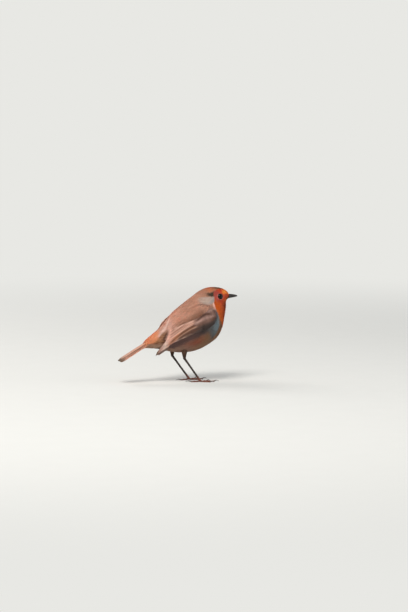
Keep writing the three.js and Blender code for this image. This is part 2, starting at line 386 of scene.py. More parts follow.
class Value:
    """A number in a shader, on which arithmetic adds Math nodes."""

    def __init__(self, graph: "Graph", socket: bpy.types.NodeSocket) -> None:
        """Keeps the graph and the output socket."""
        self.graph = graph
        self.socket = socket

    def _math(self, operation: str, *values: "Value | float") -> "Value":
        """A Math node on the given values."""
        return self.graph.node("ShaderNodeMath", {"operation": operation}, *values).value()

    def __add__(self, other: "Value | float") -> "Value":
        """Sum."""
        return self._math("ADD", self, other)

    __radd__ = __add__

    def __sub__(self, other: "Value | float") -> "Value":
        """Difference."""
        return self._math("SUBTRACT", self, other)

    def __rsub__(self, other: float) -> "Value":
        """Difference the other way round."""
        return self._math("SUBTRACT", other, self)

    def __mul__(self, other: "Value | float") -> "Value":
        """Product."""
        return self._math("MULTIPLY", self, other)

    __rmul__ = __mul__

    def __abs__(self) -> "Value":
        """Size without sign."""
        return self._math("ABSOLUTE", self)

    def wave(self) -> "Value":
        """The sine of the value."""
        return self._math("SINE", self)

    def ease(self, low: float, high: float) -> "Value":
        """A smooth step of the value.

        Args:
            low: Where it is 0.
            high: Where it is 1.

        Returns:
            The step.
        """
        ends = {"From Min": low, "From Max": high}
        settings = {"interpolation_type": "SMOOTHSTEP"}
        return self.graph.node("ShaderNodeMapRange", settings, Value=self, **ends).value()


@dataclass
class Made:
    """A node that a graph has added."""

    graph: "Graph"
    node: bpy.types.Node

    def out(self, name: str | int = 0) -> bpy.types.NodeSocket:
        """An output socket, by name or number."""
        return self.node.outputs[name]

    def value(self, name: str | int = 0) -> Value:
        """An output as a number for arithmetic."""
        return Value(self.graph, self.out(name))


class Graph:
    """The node tree of one material or world."""

    def __init__(self, tree: bpy.types.NodeTree) -> None:
        """Starts an empty tree."""
        self.tree = tree
        tree.nodes.clear()

    def node(
        self,
        kind: str,
        settings: dict[str, object] | None = None,
        *places: object,
        **sockets: object,
    ) -> Made:
        """Adds a node.

        Args:
            kind: The node's type.
            settings: Its settings, set first.
            *places: Values or links of its first inputs, in order.
            **sockets: Values or links of its inputs, by name.

        Returns:
            The node.
        """
        made = self.tree.nodes.new(kind)
        for name, value in (settings or {}).items():
            setattr(made, name, value)
        for name, value in [*enumerate(places), *sockets.items()]:
            socket = made.inputs[name] if isinstance(name, int) else self._input(made, name)
            if isinstance(value, Value):
                self.tree.links.new(value.socket, socket)
            elif isinstance(value, bpy.types.NodeSocket):
                self.tree.links.new(value, socket)
            elif isinstance(value, (np.ndarray, tuple)) and socket.type == "RGBA":
                socket.default_value = (*value[:3], 1.0)
            else:
                socket.default_value = value
        return Made(self, made)

    @staticmethod
    def _input(node: bpy.types.Node, name: str) -> bpy.types.NodeSocket:
        """The input with this identifier, or else with this name."""
        return next((s for s in node.inputs if s.identifier == name), None) or node.inputs[name]

    def attribute(self, name: str) -> Value:
        """A number that the mesh's points carry."""
        return self.node("ShaderNodeAttribute", {"attribute_name": name}).value("Fac")

    def colour(self, name: str) -> bpy.types.NodeSocket:
        """A colour that the mesh's points carry."""
        return self.node("ShaderNodeAttribute", {"attribute_name": name}).out("Color")

    def place(self) -> bpy.types.NodeSocket:
        """The place on the object, in metres."""
        return self.node("ShaderNodeTexCoord").out("Object")

    def noise(
        self, scale: float, detail: float = 2.0, stretch: Sequence[float] = (1, 1, 1)
    ) -> Value:
        """Soft noise over the object, from 0 to 1.

        Args:
            scale: How many features a metre holds.
            detail: How many finer layers it has.
            stretch: The scale's share along each axis.

        Returns:
            The noise.
        """
        mapped = self.node("ShaderNodeMapping", {}, Vector=self.place(), Scale=stretch).out()
        made = self.node("ShaderNodeTexNoise", {}, Vector=mapped, Scale=scale, Detail=detail)
        return made.value(0)

    def multiplied(self, share: object, first: object, last: object) -> bpy.types.NodeSocket:
        """A colour multiplied by another by a share.

        Args:
            share: The share.
            first: The colour.
            last: The other.

        Returns:
            The new colour.
        """
        settings = {"data_type": "RGBA", "blend_type": "MULTIPLY"}
        made = self.node("ShaderNodeMix", settings, Factor_Float=share, A_Color=first, B_Color=last)
        return next(s for s in made.node.outputs if s.identifier == "Result_Color")

    def shaded(self, colour: object, amount: Value) -> bpy.types.NodeSocket:
        """A colour made darker or lighter by an amount near 1."""
        return self.node("ShaderNodeVectorMath", {"operation": "SCALE"}, colour, Scale=amount).out()

    def bump(self, height: Value, strength: float, distance: float) -> bpy.types.NodeSocket:
        """A normal that follows a height, whose full step is a distance in metres."""
        sockets = {"Strength": strength, "Distance": distance, "Height": height}
        return self.node("ShaderNodeBump", {}, **sockets).out()

    def surface(self, **sockets: object) -> None:
        """Ends the tree in a Principled shader with these sockets, spelt with _ for a space."""
        named = {name.replace("_", " "): value for name, value in sockets.items()}
        shader = self.node("ShaderNodeBsdfPrincipled", {}, **named)
        self.node("ShaderNodeOutputMaterial", {}, Surface=shader.out())


class Finish:
    """A finish: a material that is made once, by the graph that its class draws."""

    def material(self) -> bpy.types.Material:
        """The finish's material, made at its first use.

        Returns:
            The material.
        """
        name = type(self).__name__.replace("Finish", "").lower()
        found = bpy.data.materials.get(name)
        if found is None:
            found = bpy.data.materials.new(name)
            found.use_nodes = True
            self.draw(Graph(found.node_tree))
        return found

    def draw(self, graph: Graph) -> None:
        """Adds the finish's nodes."""
        raise NotImplementedError

    @staticmethod
    def varied(noise: Value, depth: float) -> Value:
        """A share of light near 1 that noise moves up and down by up to half the depth."""
        return (noise - 0.5) * depth + 1.0


@dataclass(frozen=True)
class DownFinish(Finish):
    """The loose body plumage: its own tint, darker at the roots, with fine barbs and soft mottling.

    Attributes:
        root_shade: How light a feather is at its root.
        barbs: The turns of the barb lines along a feather and over half its width.
        barb_depth: How much the lines darken it.
        soft: The features of the broad mottling in a metre.
        fine: The same of the fine mottling.
        mottle: How much each darkens it.
        warmth: What the warmer patches are multiplied by.
        warm_share: How far that goes.
        lightness: The whole coat's share of light.
        roughness: The least roughness.
    """

    root_shade: float = 0.9
    barbs: tuple[float, float] = (34.0, 13.0)
    barb_depth: float = 0.05
    soft: float = 700.0
    fine: float = 2600.0
    mottle: float = 0.16
    warmth: tuple[float, float, float] = (1.0, 0.84, 0.74)
    warm_share: float = 0.4
    lightness: float = 1.04
    roughness: float = 0.74

    def draw(self, graph: Graph) -> None:
        """Tint times a rise from root to tip, mottling and barb lines, which also make the bump.

        Args:
            graph: The material's graph.
        """
        along, across = graph.attribute("along"), graph.attribute("across")
        barbs = (along * self.barbs[0] - abs(across) * self.barbs[1]).wave()
        soft = graph.noise(self.soft, 3.0)
        fine = graph.noise(self.fine, 2.0)
        rise = along.ease(0.0, 0.75) * (1.0 - self.root_shade) + self.root_shade
        amount = rise * self.varied(soft, self.mottle) * self.varied(fine, self.mottle)
        amount = amount * (barbs * self.barb_depth + 1.0) * graph.attribute("tone")
        normal = graph.bump(barbs * 0.5 + fine, 0.3, 0.00005)
        drift = graph.noise(190.0, 3.0).ease(0.35, 0.7) * self.warm_share
        tint = graph.multiplied(drift, graph.colour("tint"), self.warmth)
        graph.surface(
            Base_Color=graph.shaded(tint, amount * self.lightness),
            Roughness=fine * 0.15 + self.roughness,
            Specular_IOR_Level=0.25,
            Sheen_Weight=0.12,
            Sheen_Roughness=0.5,
            Normal=normal,
        )


@dataclass(frozen=True)
class VaneFinish(Finish):
    """Flight feathers and coverts: a firm vane with close slanting barbs and a pale shaft.

    Attributes:
        barbs: The turns of the barb lines along a vane and over half its width.
        barb_depth: How much the lines darken it.
        soft: The features of the broad mottling in a metre.
        fine: The same of the fine mottling.
        mottle: How much each darkens it.
        roughness: The least roughness.
    """

    barbs: tuple[float, float] = (620.0, 30.0)
    barb_depth: float = 0.035
    soft: float = 420.0
    fine: float = 2400.0
    mottle: tuple[float, float] = (0.16, 0.14)
    roughness: float = 0.55

    def draw(self, graph: Graph) -> None:
        """Tint times soft mottling and slanting barb lines, which also make the bump.

        Args:
            graph: The material's graph.
        """
        along, across = graph.attribute("along"), graph.attribute("across")
        barbs = (along * self.barbs[0] - abs(across) * self.barbs[1]).wave()
        soft = graph.noise(self.soft, 3.0)
        fine = graph.noise(self.fine, 2.0)
        amount = (barbs * self.barb_depth + 1.0) * self.varied(soft, self.mottle[0])
        amount = amount * self.varied(fine, self.mottle[1])
        graph.surface(
            Base_Color=graph.shaded(graph.colour("tint"), amount * graph.attribute("tone")),
            Roughness=soft * 0.2 + self.roughness,
            Specular_IOR_Level=0.32,
            Sheen_Weight=0.05,
            Normal=graph.bump(barbs * 0.5 + fine * 0.5, 0.25, 0.00003),
        )


@dataclass(frozen=True)
class SkinFinish(Finish):
    """The skin under the coat, in the coat's own markings, darker and finely goose-pimpled."""

    shade: float = 0.78

    def draw(self, graph: Graph) -> None:
        """Tint times a constant and soft noise, with noise as bump.

        Args:
            graph: The material's graph.
        """
        soft = graph.noise(900.0, 3.0)
        graph.surface(
            Base_Color=graph.shaded(graph.colour("tint"), (soft - 0.5) * 0.3 + self.shade),
            Roughness=soft * 0.2 + 0.7,
            Specular_IOR_Level=0.2,
            Normal=graph.bump(soft, 0.5, 0.0001),
        )


@dataclass(frozen=True)
class HornFinish(Finish):
    """The horn of the bill and claws: nearly black, with a dull gloss and fine growth lines."""

    roughness: float = 0.22
    line_depth: float = 0.7

    def draw(self, graph: Graph) -> None:
        """Tint times noise that is drawn out along the horn, with the same noise as bump.

        Args:
            graph: The material's graph.
        """
        lines = graph.noise(1500.0, 3.0, (0.25, 1.0, 1.6))
        wear = graph.noise(500.0, 2.0)
        graph.surface(
            Base_Color=graph.shaded(graph.colour("tint"), self.varied(lines, self.line_depth)),
            Roughness=lines * 0.15 + wear * 0.15 + self.roughness,
            Specular_IOR_Level=0.5,
            Coat_Weight=0.15,
            Coat_Roughness=0.25,
            Normal=graph.bump(lines, 0.3, 0.00008),
        )


@dataclass(frozen=True)
class ScaleFinish(Finish):
    """The scaly skin of shanks and toes: dark seams between plates, with a faint waxy gloss."""

    roughness: float = 0.35
    seam_shade: float = 0.5
    mottle: tuple[float, float] = (0.4, 0.3)

    def draw(self, graph: Graph) -> None:
        """Tint darkened in the seams that the points carry and by noise, with fine noise as bump.

        Args:
            graph: The material's graph.
        """
        fine = graph.noise(3200.0, 3.0)
        soft = graph.noise(500.0, 2.0)
        seam = graph.attribute("seam")
        amount = (1.0 - seam * self.seam_shade) * self.varied(fine, self.mottle[0])
        amount = amount * self.varied(soft, self.mottle[1])
        graph.surface(
            Base_Color=graph.shaded(graph.colour("tint"), amount),
            Roughness=fine * 0.2 + self.roughness,
            Specular_IOR_Level=0.45,
            Normal=graph.bump(fine, 0.35, 0.00005),
        )


@dataclass(frozen=True)
class EyeFinish(Finish):
    """The eye: a nearly black brown under a wet clear coat."""

    def draw(self, graph: Graph) -> None:
        """Tint with faint noise, under a clear gloss.

        Args:
            graph: The material's graph.
        """
        spokes = graph.noise(2500.0, 2.0)
        graph.surface(
            Base_Color=graph.shaded(graph.colour("tint"), spokes * 0.6 + 0.7),
            Roughness=spokes * 0.04 + 0.08,
            Specular_IOR_Level=0.2,
            Coat_Weight=0.12,
            Coat_Roughness=0.04,
        )


# The body's form

# Top X and Z, bottom X and Z, and the half width above and below, at each station.
BODY_STATIONS = np.array([
    [-31, 43.2, -33.6, 33.8, 5.8, 5.4],
    [-20.3, 51.5, -21, 32.5, 9.3, 9.4],
    [-12.4, 59.4, -9.5, 29.8, 13.4, 14.8],
    [-6, 67, 3.2, 28.3, 16.8, 19.6],
    [1.6, 73.1, 16.3, 29.8, 18.4, 22.4],
    [8.9, 78.6, 28, 34.7, 17.8, 23],
    [15, 83, 37.2, 41.6, 15.2, 22],
    [20, 86.7, 42.6, 51.3, 12.2, 19.8],
    [25.4, 89.4, 45.2, 61.3, 10.3, 15.8],
    [31.2, 90.8, 46.3, 69.6, 9.7, 11.6],
    [37.5, 90.8, 47.3, 75, 8.9, 9.2],
    [44, 89.5, 48.5, 77.9, 7.4, 7.2],
    [49, 86.7, 49.6, 78.8, 4.8, 4.7],
    [51, 83.6, 50.3, 79.3, 2.4, 2.5],
])
LAST_STATION = len(BODY_STATIONS) - 1
EYE_CENTRE = np.array([39.3, 7.2, 81.95])
EYE_RADIUS = 3.25
EYE_LOOK = np.array([0.12, 0.975, 0.19])


@dataclass
class Spot:
    """Points of a surface with its own directions there.

    Attributes:
        point: The place.
        along: The change in the place for one station.
        round: The change for one radian of turn.
        outward: The unit normal.
    """

    point: Array
    along: Array
    round: Array
    outward: Array


class Body:
    """The form of trunk, neck and head: ovals strung from top to bottom points."""

    step = 1e-3
    covert_run = np.array([10.4, 0, 7.2])
    covert_taper = 0.86

    def plain(self, station: Array, turn: Array) -> Array:
        """Points of the form.

        With down = (1 - cos turn) / 2, the point lies that share of the way from the oval's top to
        its bottom, and sin turn times the half width to the side. Past the last coverts the form
        runs on along the tail and narrows.

        Args:
            station: Stations.
            turn: Turns from the middle of the back.

        Returns:
            The points.
        """
        station, turn = np.broadcast_arrays(np.asarray(station, float), np.asarray(turn, float))
        past = np.minimum(station, 0)[..., None]
        values = spline(BODY_STATIONS, np.maximum(station, 0))
        top, bottom = values[..., 0:2], values[..., 2:4]
        down = (1 - np.cos(turn)) / 2
        half = lerp(values[..., 4], values[..., 5], ease(0, 1, down))
        place = lerp(top, bottom, down[..., None])
        point = np.stack([place[..., 0], half * np.sin(turn), place[..., 1]], -1)
        middle = (top + bottom) / 2
        middle = np.stack([middle[..., 0], np.zeros_like(down), middle[..., 1]], -1)
        smaller = 1 + self.covert_taper * past
        tapered = middle + past * self.covert_run + (point - middle) * smaller
        return np.where(past < 0, tapered, point)

    def at(self, station: Array, turn: Array) -> Array:
        """Points of the outer surface."""
        return self.plain(station, turn)

    def spot(self, station: Array, turn: Array) -> Spot:
        """Points with their directions, from differences over a small step.

        Args:
            station: Stations.
            turn: Turns from the middle of the back.

        Returns:
            The points and directions.
        """
        here = self.at(station, turn)
        along = (self.at(station + self.step, turn) - here) / self.step
        round_ = (self.at(station, turn + self.step) - here) / self.step
        return Spot(here, along, round_, unit(np.cross(along, round_)))

    @staticmethod
    def half_width(x: Array, z: Array) -> Array:
        """The form's half width at places seen from the side.

        The station whose line from top to bottom passes through the place is found by halving.

        Args:
            x: Places towards the bill.
            z: Heights.

        Returns:
            Half widths, and 0 off the form.
        """
        place = np.stack([x, z], -1)
        low, high = np.zeros(x.shape), np.full(x.shape, float(LAST_STATION))

        def sides(station: Array) -> tuple[Array, Array, Array]:
            """Where the places lie against a station's line.

            Args:
                station: The stations.

            Returns:
                How far they are ahead of it, their shares down it, and the form there.
            """
            values = spline(BODY_STATIONS, station)
            down = values[..., 2:4] - values[..., 0:2]
            off = place - values[..., 0:2]
            ahead = down[..., 0] * off[..., 1] - down[..., 1] * off[..., 0]
            return ahead, np.sum(down * off, -1) / np.sum(down * down, -1), values

        behind = sides(low)[0] < 0
        for _ in range(26):
            middle = (low + high) / 2
            ahead = sides(middle)[0] > 0
            low, high = np.where(ahead, middle, low), np.where(ahead, high, middle)
        _, share, values = sides(low)
        inside = (share > 0) & (share < 1) & ~behind & (low < LAST_STATION - 0.01)
        share = np.clip(share, 0, 1)
        half = lerp(values[..., 4], values[..., 5], ease(0, 1, share))
        return np.where(inside, half * 2 * np.sqrt(share * (1 - share)), 0)


@dataclass
class Field:
    """Numbers on a square grid over the bird as seen from the side, read with even blending."""

    low: tuple[float, float]
    step: float
    values: Array

    def __call__(self, x: Array, z: Array) -> Array:
        """The number at each place, blended from the four grid points round it.

        Args:
            x: Places towards the bill.
            z: Heights.

        Returns:
            The numbers.
        """
        rows, columns = self.values.shape
        i = np.clip((x - self.low[0]) / self.step, 0, rows - 1.001)
        j = np.clip((z - self.low[1]) / self.step, 0, columns - 1.001)
        a, b = i.astype(int), j.astype(int)
        i, j = i - a, j - b
        near = lerp(self.values[a, b], self.values[a, b + 1], j)
        return lerp(near, lerp(self.values[a + 1, b], self.values[a + 1, b + 1], j), i)

    def blurred(self, times: int) -> "Field":
        """The field after some passes of a one, two, one blur each way.

        Args:
            times: How many.

        Returns:
            A new field.
        """
        values = self.values
        for _ in range(times):
            for axis in (0, 1):
                near = np.roll(values, 1, axis) + np.roll(values, -1, axis)
                values = values / 2 + near / 4
        return Field(self.low, self.step, values)


@dataclass
class WingForm:
    """A wing's form, folded on the body, given for the right side.

    The wing's lower and upper edges are curves seen from the side. The outer face stands on the
    body or, towards the tip, on a plane that leaves it, by the wing's thickness.

    Attributes:
        raised: The degrees by which it is raised about its bend.
        breadth: The share of its breadth to which it is folded.
        scapulars: The reaches and rises of the line to which the scapulars cover it.
        bend: The X and Z of its bend.
        lower: Its lower edge, in X and Z.
        upper: Its upper edge.
        gap: The clear space between wing and body.
        bend_thick: The wing's thickness at the bend.
        tip_thick: The same at the tip.
        tip_y: How far the tip is from the middle of the bird.
        flare: How much further out than the tip the bend would hang free.
        settle: How gently the wing leaves the body.
        bluntness: The share of its thickness that it has at the very bend.
        swell: How soon it has all of it.
        cell: The side of a cell of its fields.
        least: How far its face stands from the body at the least.
        scapular_lift: How far the scapulars stand over it.
    """

    raised: float = 0.0
    breadth: float = 1.0
    scapulars: Table = (
        (0, 0.1, 0.17, 0.23, 0.3, 0.4, 0.48, 0.56, 0.64, 0.7),
        (1.0, 0.92, 0.8, 0.64, 0.61, 0.66, 0.74, 0.83, 0.93, 1.3),
    )
    bend: tuple[float, float] = (33.4, 66.0)
    lower: Array = held(np.array([
        [33.4, 64.5], [30.2, 57.2], [19.5, 50.8], [9.5, 47], [1, 43.4], [-6.8, 38.6], [-13.8, 33.4],
        [-20.5, 28.2], [-25.6, 25.6],
    ]))
    upper: Array = held(np.array([
        [33.4, 67.5], [29, 74.2], [18.5, 77], [8, 71.6], [-1.8, 63.8], [-9.4, 56], [-15.4, 46.6],
        [-19, 37.6], [-25.9, 26.8],
    ]))
    gap: float = 0.35
    bend_thick: float = 3.1
    tip_thick: float = 1.1
    tip_y: float = 8.6
    flare: float = 6.0
    settle: float = 1.5
    bluntness: float = 0.35
    swell: float = 9.0
    cell: float = 0.5
    least: float = 0.9
    scapular_lift: float = 0.3

    @staticmethod
    def of(side: Side) -> "WingForm":
        """The form of the wing on a side: the left one lies closer and a little higher.

        Args:
            side: The side.

        Returns:
            The form.
        """
        if side is Side.RIGHT:
            return WingForm()
        at = (0, 0.1, 0.17, 0.23, 0.3, 0.42, 0.5, 0.56)
        line = at, (1.0, 0.92, 0.8, 0.64, 0.61, 0.7, 0.78, 1.3)
        return WingForm(8.0, 0.86, line)

    def seen(self, reach: Array, rise: Array) -> Array:
        """The X and Z of places on the wing, turned about the bend.

        Args:
            reach: From 0 at the bend to 1 at the tip.
            rise: From 0 at the lower edge to 1 at the upper.

        Returns:
            The places.
        """
        knots = len(self.lower) - 1
        low, high = spline(self.lower, reach * knots), spline(self.upper, reach * knots)
        off = lerp(low, high, np.asarray(rise)[..., None] * self.breadth) - self.bend
        cos, sin = math.cos(math.radians(self.raised)), math.sin(math.radians(self.raised))
        turned = [off[..., 0] * cos + off[..., 1] * sin, off[..., 1] * cos - off[..., 0] * sin]
        return np.stack(turned, -1) + self.bend

    def out(self, reach: Array, rise: Array) -> Array:
        """How far the outer face stands from the bird's middle plane.

        Inner is the greater of body and free plane, with a soft change between them: half of their
        sum and of the root of their difference squared and settle squared. The wing's thickness
        arches over it.

        Args:
            reach: From 0 at the bend to 1 at the tip.
            rise: From 0 at the lower edge to 1 at the upper.

        Returns:
            The distances.
        """
        place = self.seen(reach, rise)
        free = self.tip_y + self.flare * (1 - reach)
        on_body = Body.half_width(place[..., 0], place[..., 1]) + self.gap
        inner = (on_body + free + np.hypot(on_body - free, self.settle)) / 2
        arch = (2 * np.sqrt(np.clip(rise * (1 - rise), 0, None))) ** 0.6
        blunt = np.minimum(1, self.bluntness + self.swell * reach)
        return inner + lerp(self.bend_thick, self.tip_thick, reach**0.7) * blunt * arch

    def fields(self) -> dict[str, Field]:
        """The wing over the side view.

        Returns:
            Fields: inside is 1 on the wing, reach and rise are its coordinates, out is its outer
            face, carried on past its edges, over is the rise over the line to which the scapulars
            cover it, and lift is how far it pushes them up.
        """
        reach, rise = np.meshgrid(np.linspace(0, 1, 420), np.linspace(0, 1, 190), indexing="ij")
        place, out = self.seen(reach, rise), self.out(reach, rise)
        low = place.reshape(-1, 2).min(0) - 12
        size = np.ceil((place.reshape(-1, 2).max(0) + 12 - low) / self.cell).astype(int) + 1
        cells = np.rint((place - low) / self.cell).astype(int)
        index = (cells[..., 0] * size[1] + cells[..., 1]).ravel()
        count = np.bincount(index, minlength=size.prod()).reshape(size).astype(float)
        grids = {}
        for name, values in {"reach": reach, "rise": rise, "out": out}.items():
            total = np.bincount(index, values.ravel(), minlength=size.prod()).reshape(size)
            grids[name] = self._filled(total, count)
        corner = (float(low[0]), float(low[1]))
        inside = (count > 0).astype(float)
        steps = (low[k] + self.cell * np.arange(size[k]) for k in (0, 1))
        x, z = np.meshgrid(*steps, indexing="ij")
        on_body = Body.half_width(x, z)
        out = np.maximum(grids["out"], on_body + self.least)
        over = grids["rise"] - np.interp(grids["reach"], *self.scapulars)
        lift = inside * np.maximum(grids["out"] - on_body + self.scapular_lift, 0) * (on_body > 0)
        lift = lift * ease(-0.16, -0.03, over)
        grids |= {"inside": inside, "out": out, "over": over, "lift": lift}
        blurs = {"inside": 1, "lift": 6, "out": 2}
        return {
            name: Field(corner, self.cell, values).blurred(blurs.get(name, 0))
            for name, values in grids.items()
        }

    @staticmethod
    def _filled(total: Array, count: Array) -> Array:
        """Means where there are samples, spread outwards cell by cell to the rest of the grid.

        Args:
            total: The sum of each cell's samples.
            count: Their number.

        Returns:
            A value for each cell.
        """
        known = count > 0
        values = np.where(known, total / np.maximum(count, 1), 0)
        weight = known.astype(float)
        while not known.all():
            around, seen = np.zeros_like(values), np.zeros_like(values)
            for axis, shift in ((0, 1), (0, -1), (1, 1), (1, -1)):
                around += np.roll(values * weight, shift, axis)
                seen += np.roll(weight, shift, axis)
            fresh = ~known & (seen > 0)
            values = np.where(fresh, around / np.maximum(seen, 1), values)
            known |= fresh
            weight = known.astype(float)
        return values


class DrapedBody(Body):
    """The body with the folded wings pushed up under its coat, for feathers that lap over them."""

    def __init__(self, fields: dict[Side, dict[str, Field]]) -> None:
        """Keeps both wings' fields."""
        self.fields = fields

    def read(self, name: str, point: Array) -> Array:
        """A field of the wing on each point's own side.

        Args:
            name: The field's name.
            point: Places on the bird.

        Returns:
            The field's values.
        """
        right, left = (self.fields[side][name](point[..., 0], point[..., 2]) for side in Side)
        return np.where(point[..., 1] < 0, right, left)

    def at(self, station: Array, turn: Array) -> Array:
        """The body's points, moved outwards by the wing's lift.

        Args:
            station: Stations.
            turn: Turns from the middle of the back.

        Returns:
            The points.
        """
        point = self.plain(station, turn)
        push = self.read("lift", point)
        side = np.clip(point[..., 1] / 2, -1, 1)
        return point + np.stack([np.zeros_like(push), push * side, np.zeros_like(push)], -1)


# Markings


class On(Enum):
    """What a marking is measured on, over the body."""

    STATION = "the place along the body"
    ANGLE = "degrees from the middle of the breast, up each side to the back"
    BELOW = "from 0 at the upper limit of the belly's colours to 1 where they are whole"
    OUT = "stations behind the rear of the bib"
    BAND = "degrees over the front of the grey band"
    SLATE = "degrees over the lower limit of the dark flank"
    NECK_TOP = "degrees over the upper limit of the pale side of the neck"
    # Painted shade under the wing is measured from its lower limit.
    NECK_LOW = "degrees over its lower limit"
    BEND = "stations ahead of the front of the folded wing"
    WING = "stations ahead of the rear of the folded wing"
    # Painted shade: the dark lines stand for shade between the coverts behind the wing.
    LINES = "the swing of the dark lines on the coverts behind the wing"
    STREAK = "stations ahead of the pale streak over the rump"
    FOREHEAD = "stations ahead of the rear of the pale forehead"


Places = dict[On, Array]
Windows = Sequence[tuple[On, float, float] | tuple[On, float, float, float]]


def met(windows: Windows, places: Places) -> Array:
    """The product of windows, each a smooth step from its least share, or else 0, to 1."""
    steps = (lerp(sum(least), 1, ease(a, b, places[on])) for on, a, b, *least in windows)
    return math.prod(steps)


@dataclass(frozen=True)
class Layer:
    """A colour laid over those before it, where its windows and bells meet.

    Attributes:
        name: What it marks.
        colour: The colour, or a ground colour and the layers over that.
        windows: Where it lies: a measure, where the step begins, where it is whole, and at times
            the least share.
        strength: Its greatest share.
        bells: Where it is strongest: a measure, the bell's middle and its width.
    """

    name: str
    colour: "Array | tuple[Array, tuple[Layer, ...]]"
    windows: Windows = ()
    strength: float = 1.0
    bells: Sequence[tuple[On, float, float]] = ()

    def share(self, places: Places) -> Array:
        """Its share: the windows, times e to the minus square of the distance for each bell."""
        bells = (bell((places[on] - middle) / wide) for on, middle, wide in self.bells)
        return met(self.windows, places) * math.prod(bells) * self.strength


def painted(ground: Array, layers: Sequence[Layer], places: Places) -> Array:
    """Colours at places on the body.

    Args:
        ground: The colour under all layers.
        layers: What is laid over it, one after another.
        places: The measures of each place.

    Returns:
        One colour for each place.
    """
    colour = np.broadcast_to(ground, places[On.STATION].shape + (3,))
    for layer in layers:
        plain = isinstance(layer.colour, np.ndarray)
        over = layer.colour if plain else painted(*layer.colour, places)
        colour = lerp(colour, over, layer.share(places)[..., None])
    return colour


MANTLE = srgb(205, 155, 131)
# COVERT_SHADE is the colour of painted shade in the crease and hollow behind the folded wing.
COVERT_SHADE = srgb(84, 52, 40)
BLUE_SLATE = srgb(102, 102, 102)
CHEEK = srgb(190, 86, 74)
AHEAD_OF_WING = (
    (On.BEND, 0.8, 0.15), (On.BEND, -0.6, -0.2), (On.ANGLE, 68, 74), (On.ANGLE, 116, 104),
)
BEHIND_WING = (
    (On.WING, -0.78, -0.5), (On.WING, 0.1, -0.05), (On.ANGLE, 60, 74), (On.ANGLE, 134, 116),
)

# Painted shade on the flank below the folded wing: dark brown-grey, blue-grey towards the front,
# deepest in a blot under the wing's middle.
SHADE_UNDER_WING = (srgb(98, 74, 70), (
    Layer("grey front", BLUE_SLATE, [(On.STATION, 4.6, 5.5)]),
    Layer(
        "dark blot", srgb(64, 58, 60), strength=0.8,
        bells=[(On.STATION, 4.9, 0.6), (On.ANGLE, 75, 9)],
    ),
))
# The underparts are partly the bird's own buff and brown, and partly painted shade: the belly is
# given a darker brown than its own whitish colour.
UNDER_PARTS = (srgb(178, 142, 120), (
    Layer("belly", srgb(156, 122, 106), [(On.STATION, 1.0, 3.0)]),
    Layer("low belly", srgb(152, 116, 88), [(On.STATION, 3.2, 4.6)]),
    Layer(
        "red flank", srgb(152, 86, 64), strength=0.9,
        bells=[(On.STATION, 4.1, 0.95), (On.ANGLE, 58, 11)],
    ),
    Layer(
        "olive flank", srgb(140, 106, 72), strength=0.6,
        bells=[(On.STATION, 5.2, 0.42), (On.ANGLE, 55, 12)],
    ),
    Layer("dark flank", SHADE_UNDER_WING, [(On.SLATE, -9, 6), (On.STATION, 0.9, 2.3)]),
    # Painted shade in the crease between the folded wing and the tail coverts.
    Layer(
        "seam", COVERT_SHADE, [(On.STATION, 0.2, 0.6), (On.STATION, 2.0, 1.4)], 0.7,
        [(On.ANGLE, 80, 6)],
    ),
))
BAND = (BLUE_SLATE, (Layer("grey", srgb(136, 150, 156), [(On.STATION, 5.6, 6.4)]),))
NECK = (srgb(204, 182, 168), (
    Layer("grey", srgb(168, 168, 172), [(On.ANGLE, 122, 108), (On.STATION, 6.9, 7.4)], 0.8),
))
BIB = (srgb(220, 116, 36), (
    Layer("throat", srgb(206, 92, 20), [(On.STATION, 7.0, 8.0), (On.STATION, 10.5, 9.5)]),
    Layer("face", srgb(212, 82, 44), [(On.ANGLE, 50, 80), (On.STATION, 8.3, 9.0)]),
    Layer("cheek", CHEEK, [(On.ANGLE, 86, 100), (On.STATION, 10.0, 9.4), (On.STATION, 8.0, 8.5)]),
    Layer("forehead", srgb(252, 164, 66), [(On.FOREHEAD, -0.35, 0.3), (On.ANGLE, 84, 112)]),
))
